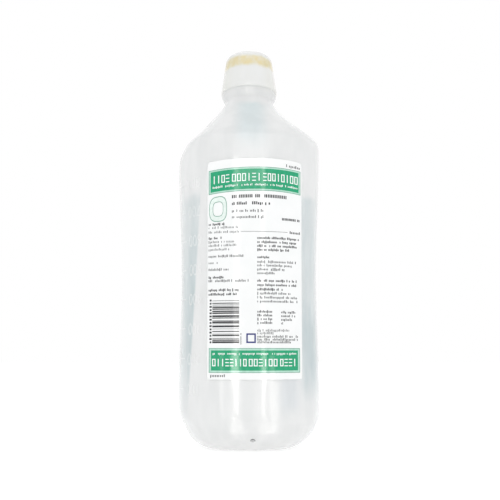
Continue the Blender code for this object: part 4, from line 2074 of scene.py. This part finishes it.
@dataclass(frozen=True)
class Studio:
    """Floor, sky, lamps and camera.

    The camera stands low in front of the bottle, tilted up, and its frame is shifted so that the
    bottle stands in the middle of a square picture.

    Attributes:
        ground_strips: strips of light on the ground: where each starts sideways, its direction in
            degrees, its width, its near and its far end, and how bright it is.
        strips: upright strips: the direction and the width of each in degrees, its lower and its
            upper end, and how bright it is.
    """

    lens: float = 44.64
    tilt_degrees: float = 7.08
    shift_up: float = 0.05
    camera_at: tuple = (0.0007, -0.4123, 0.0604)
    sky: tuple = (0.975, 0.99, 1.0)
    sky_strength: float = 1.0
    floor_size: float = 3.0
    floor_drop: float = 0.2 * MM
    floor_colour: tuple = (0.55, 0.55, 0.55)
    floor_glow: float = 0.575
    floor_sheen: float = 0.02
    key_colour: tuple = (1.0, 0.985, 0.965)
    key_at: tuple = (0.10, -1.30, 0.70)
    key_aim: tuple = (0.0, 0.0, 0.12)
    key_size: tuple = (0.9, 0.7)
    key_radiance: float = 0.5
    strip_colour: tuple = (1.0, 0.975, 0.92)
    strip_distance: float = 0.20
    strip_face: float = -0.037
    ground_lift: float = 0.5 * MM
    ground_lean: float = 0.02
    ground_strips: tuple = (
        (-0.0078, -10.0, 0.013, 0.0035, 0.060, 1.5),
        (-0.0086, -12.0, 0.013, 0.060, 0.200, 4.0),
        (0.0092, 13.8, 0.008, 0.0035, 0.060, 1.5),
        (0.0095, 13.8, 0.009, 0.060, 0.200, 4.0),
        (0.0165, 25.0, 0.010, 0.003, 0.060, 1.3),
        (0.0170, 25.0, 0.024, 0.060, 0.200, 2.0),
    )
    strips: tuple = (
        (-12.0, 6.0, 0.0, 0.034, 4.2),
        (-13.4, 9.0, 0.034, 0.066, 8.0),
        (-12.0, 6.0, 0.066, 0.110, 4.0),
        (-12.0, 6.0, 0.110, 0.236, 2.5),
        (13.8, 4.2, 0.0, 0.034, 4.2),
        (15.0, 5.6, 0.034, 0.066, 8.0),
        (13.8, 4.2, 0.066, 0.236, 3.0),
        (29.0, 13.0, 0.0, 0.034, 2.4),
        (26.0, 7.0, 0.034, 0.066, 2.4),
        (1.0, 30.0, 0.205, 0.234, 1.4),
        (-32.0, 4.0, 0.0, 0.066, 2.0),
    )

    def background_rays(self, nodes: NodeTree) -> Socket:
        """A socket that is 1 for camera, glossy and transmission rays.

        Args:
            nodes: the world's or the floor's nodes.

        Returns:
            The socket.
        """
        path = nodes.add("LightPath").outputs
        seen = nodes.maths("MAXIMUM", path["Is Camera Ray"], path["Is Glossy Ray"])
        return nodes.maths("MAXIMUM", seen, path["Is Transmission Ray"])

    def build_sky(self) -> None:
        """A pale sky that the eye, gloss and clear plastic see as white."""
        nodes = NodeTree(bpy.data.worlds.new("studio_sky"))
        light = nodes.nodes["Background"]
        nodes.fill(light, Color=(*self.sky, 1.0), Strength=self.sky_strength)
        white = nodes.add("Background", Color=(1.0, 1.0, 1.0, 1.0))
        seen = nodes.either("MixShader", self.background_rays(nodes), light.outputs[0], white.outputs[0])
        nodes.fill(nodes.nodes["World Output"], Surface=seen)
        bpy.context.scene.world = nodes.owner

    def build_floor(self) -> None:
        """A plain white floor with a faint glow, which keeps a soft shadow of the bottle.

        Its underside is clear, so that the base is seen from below too.
        """
        x, y = np.meshgrid(*[[-self.floor_size, self.floor_size]] * 2)
        mesh = bpy.data.meshes.new("studio_floor")
        points = stacked(x, y, -self.floor_drop).reshape(-1, 3)
        mesh.from_pydata(points.tolist(), [], [(0, 1, 3, 2)])
        nodes = NodeTree(bpy.data.materials.new("studio_floor_white"))
        sheen = nodes.product(self.background_rays(nodes), self.floor_sheen)
        glow = nodes.add("Emission", Strength=nodes.maths("ADD", sheen, self.floor_glow))
        diffuse = nodes.add("BsdfDiffuse", Color=(*self.floor_colour, 1.0))
        both = nodes.either("AddShader", diffuse.outputs[0], glow.outputs[0])
        behind = nodes.add("NewGeometry").outputs["Backfacing"]
        clear = nodes.add("BsdfTransparent").outputs[0]
        sides = nodes.either("MixShader", behind, both, clear)
        nodes.fill(nodes.nodes["Material Output"], Surface=sides)
        nodes.nodes.remove(nodes.nodes["Principled BSDF"])
        mesh.materials.append(nodes.owner)
        placed("studio_floor", mesh)

    def lamp(
        self,
        name: str,
        place: Sequence[float],
        aim: Sequence[float],
        size: Sequence[float],
        radiance: float,
        only_gloss: bool = True,
    ) -> None:
        """An area lamp that the camera doesn't see.

        Args:
            name: the lamp's name.
            place: where it stands.
            aim: the point that it faces.
            size: its width and height.
            radiance: how bright its face is, where 1 is white paper in plain light.
            only_gloss: whether it is seen in glossy surfaces without lighting them.
        """
        data = bpy.data.lights.new(name, "AREA")
        data.shape = "RECTANGLE"
        data.size, data.size_y = size
        data.energy = radiance * math.pi * size[0] * size[1]
        data.color = self.strip_colour if only_gloss else self.key_colour
        item = placed(name, data)
        item.location = place
        direction = Vector(aim) - Vector(place)
        item.rotation_euler = direction.to_track_quat("-Z", "Y").to_euler()
        item.visible_camera = False
        item.visible_diffuse = not only_gloss
        item.visible_transmission = not only_gloss

    def build_lamps(self) -> None:
        """A soft key behind the camera, and strips whose reflections streak the glossy front.

        The upright strips streak the wall, and those on the ground carry the streaks on down
        the heel.
        """
        self.lamp("key", self.key_at, self.key_aim, self.key_size, self.key_radiance, False)
        reach, face = self.strip_distance, self.strip_face
        for number, (degrees, wide_degrees, low, high, radiance) in enumerate(self.strips):
            turn, middle = math.radians(degrees), (low + high) / 2.0
            place = (reach * math.sin(turn), face - reach * math.cos(turn), middle)
            size = (reach * math.radians(wide_degrees), high - low)
            self.lamp(f"strip_{number}", place, (0.0, face, middle), size, radiance)
        for number, strip in enumerate(self.ground_strips):
            start, degrees, width, near, far, radiance = strip
            turn = math.radians(degrees)
            along = np.array([math.sin(turn), -math.cos(turn), 0.0])
            place = np.array([start, face, self.ground_lift]) + along * (near + far) / 2.0
            aim = place + along * self.ground_lean + np.array([0.0, 0.0, 1.0])
            self.lamp(f"ground_{number}", place, aim, (width, far - near), radiance)

    def build_camera(self) -> None:
        """The camera, level sideways and tilted up by its angle."""
        data = bpy.data.cameras.new("front_camera")
        data.lens = self.lens
        data.shift_y = self.shift_up
        camera = placed("front_camera", data)
        camera.location = self.camera_at
        camera.rotation_euler = (math.radians(90.0 + self.tilt_degrees), 0.0, 0.0)
        bpy.context.scene.camera = camera

    def build(self) -> None:
        """Build the studio."""
        bpy.context.scene.view_settings.view_transform = "Standard"
        self.build_sky()
        self.build_floor()
        self.build_lamps()
        self.build_camera()


def flank_tints(level: float) -> tuple[SoftTint, ...]:
    """How the liquid appears at the left and the right flank, twice each, and at the back, with painted
    bluish shade at the flanks.

    Args:
        level: the height of the liquid's top.

    Returns:
        The tints.
    """
    # Painted bluish shade down the left flank, partly the liquid seen through the wall.
    left = SoftTint(
        (0.81, 0.865, 0.875), 14.0 * MM, level - 8.0 * MM, (48.0 * MM, 10.0 * MM),
        (38.0 * MM, 39.7 * MM), mottle=0.3, grain=STREAKED, flank=Flank.LEFT, slant=0.0537,
        rim=(35.0 * MM, 45.0 * MM, 0.45), front=TURNING_BACK,
    )
    # The same painted bluish shade down the right flank.
    right = SoftTint(
        (0.78, 0.845, 0.86), 24.0 * MM, level - 7.0 * MM, (34.0 * MM, 6.0 * MM),
        (29.5 * MM, 35.5 * MM), mottle=0.3, grain=STREAKED, flank=Flank.RIGHT,
        rim=(39.5 * MM, 46.5 * MM, 0.3), front=TURNING_BACK,
    )
    # An even pale bluish tint over the liquid at the back.
    back = SoftTint(
        (0.925, 0.953, 0.958), 14.0 * MM, level - 7.0 * MM, (40.0 * MM, 6.0 * MM), mottle=0.3,
        grain=STREAKED, front=TURNING_BACK[::-1],
    )
    # Broader, paler copies of the flanks' painted shade.
    deep_left = replace(left, colour=(0.86, 0.905, 0.915), low=30.0 * MM, high=110.0 * MM,
                        fades=(40.0 * MM, 45.0 * MM))
    deep_right = replace(right, colour=(0.86, 0.90, 0.91), low=32.0 * MM, high=74.0 * MM,
                         fades=(18.0 * MM, 26.0 * MM))
    return left, deep_left, right, deep_right, back


def front_tints(neck: float, rim: float) -> tuple[SoftTint, ...]:
    """Tints at the front: a painted bluish refraction on the shoulder under the neck, a faint bluish
    patch low on the right, painted shade under the cap's rim and a painted shadow in the pit.

    Args:
        neck: the height where the neck starts.
        rim: the height of the cap's lower edge.

    Returns:
        The tints.
    """
    return (
        # Painted bluish refraction on the shoulder under the neck, above the liquid.
        SoftTint((0.86, 0.93, 0.945), neck - 48.0 * MM, neck - 6.0 * MM, (26.0 * MM, 5.0 * MM),
                 (14.0 * MM, 3.0 * MM), 1.5 * MM, FRONT_HALF),
        # A faint bluish patch low on the front, right of the middle.
        SoftTint((0.91, 0.93, 0.95), 22.0 * MM, 50.0 * MM, (14.0 * MM, 6.0 * MM),
                 (9.0 * MM, 2.0 * MM), 24.5 * MM, FRONT_HALF),
        # Painted shade under the cap's rim.
        SoftTint((0.965, 0.965, 0.955), rim - 2.8 * MM, rim, (1.6 * MM, 1.0 * MM)),
        # A darker painted shade line just under the rim.
        SoftTint((0.92, 0.92, 0.92), rim - 1.1 * MM, rim, (0.6 * MM, 0.3 * MM)),
        # A painted dark crescent of shadow under the pit's upper lip.
        SoftTint((0.12, 0.12, 0.13), 8.2 * MM, 9.0 * MM, (0.3 * MM, 0.4 * MM),
                 (1.6 * MM, 1.2 * MM), 2.4 * MM, FRONT_HALF, arch=360.0),
    )


def cap_tints(closure: Closure) -> tuple[SoftTint, ...]:
    """How the stopper is seen through the cap, in the middle and at its ends, with painted shade at its
    ends and down the cap's sides.

    Args:
        closure: the cap and what it holds.

    Returns:
        The tints.
    """
    disc = SoftTint((0.95, 0.82, 0.47), closure.stopper_z - 0.9 * MM,
                    closure.stopper_top - 1.6 * MM, (3.2 * MM, 3.0 * MM), mottle=0.4)
    # Painted shade that deepens the stopper's tint towards the cap's sides.
    ends = replace(disc, colour=(0.93, 0.93, 0.90), side=(7.0 * MM, 12.0 * MM))
    # Painted shade down the cap's sides, over its whole height.
    sides = SoftTint((0.965, 0.960, 0.935), closure.bottle.flange_top, closure.cap_top,
                     (1.0 * MM, 1.0 * MM), (8.0 * MM, 15.0 * MM))
    return disc, ends, sides


def main() -> None:
    """Build every sub-assembly in order, then the studio."""
    logging.basicConfig(level=logging.INFO, format="%(name)s %(message)s")
    form = BottleForm()
    pocket = HangerPocket()
    bottle = BottleWall(form, pocket)
    closure = Closure(bottle)
    liquid = Liquid(form, pocket)
    # The flanks' painted bluish shade, partly the liquid seen through the wall; the wall, the seam and
    # the marks carry it.
    flanks = flank_tints(liquid.level)
    # The wall also carries painted refraction under the neck, painted shade under the cap's rim and a
    # painted shadow in the pit.
    tints_and_painted_shade = (*flanks, *front_tints(form.neck_z, bottle.flange_top))
    bottle.build(MilkyPlastic("frosted_bottle_wall", drawn=0.02 * MM, tints_and_painted_shade=tints_and_painted_shade))
    bottle.build_seam(MilkyPlastic("frosted_seam", tints_and_painted_shade=flanks))
    liquid.build(ClearLiquid())
    # The cap carries the stopper seen through it and painted shade at its sides.
    cap = MilkyPlastic("translucent_cap", (0.970, 0.970, 0.955), (0.945, 0.945, 0.922), 0.24, 0.36,
                       waves=0.10 * MM, tints_and_painted_shade=cap_tints(closure))
    ring = MilkyPlastic("clamp_ring_plastic", see_through=0.10, waves=0.05 * MM)
    closure.build(cap, ring, TanRubber())
    # A paler copy of the left flank's painted bluish shade.
    faint = replace(flanks[0], colour=(0.88, 0.92, 0.93))
    marks = MilkyPlastic("frosted_volume_marks", see_through=0.16, waves=0.0, tints_and_painted_shade=(faint,))
    VolumeMarks(form).build(marks)
    Label(form).build(PrintedFilm())
    pocket.build_hanger(MilkyPlastic("hanger_plastic_satin", see_through=0.3, waves=0.05 * MM))
    Studio().build()


if __name__ == "__main__":
    main()
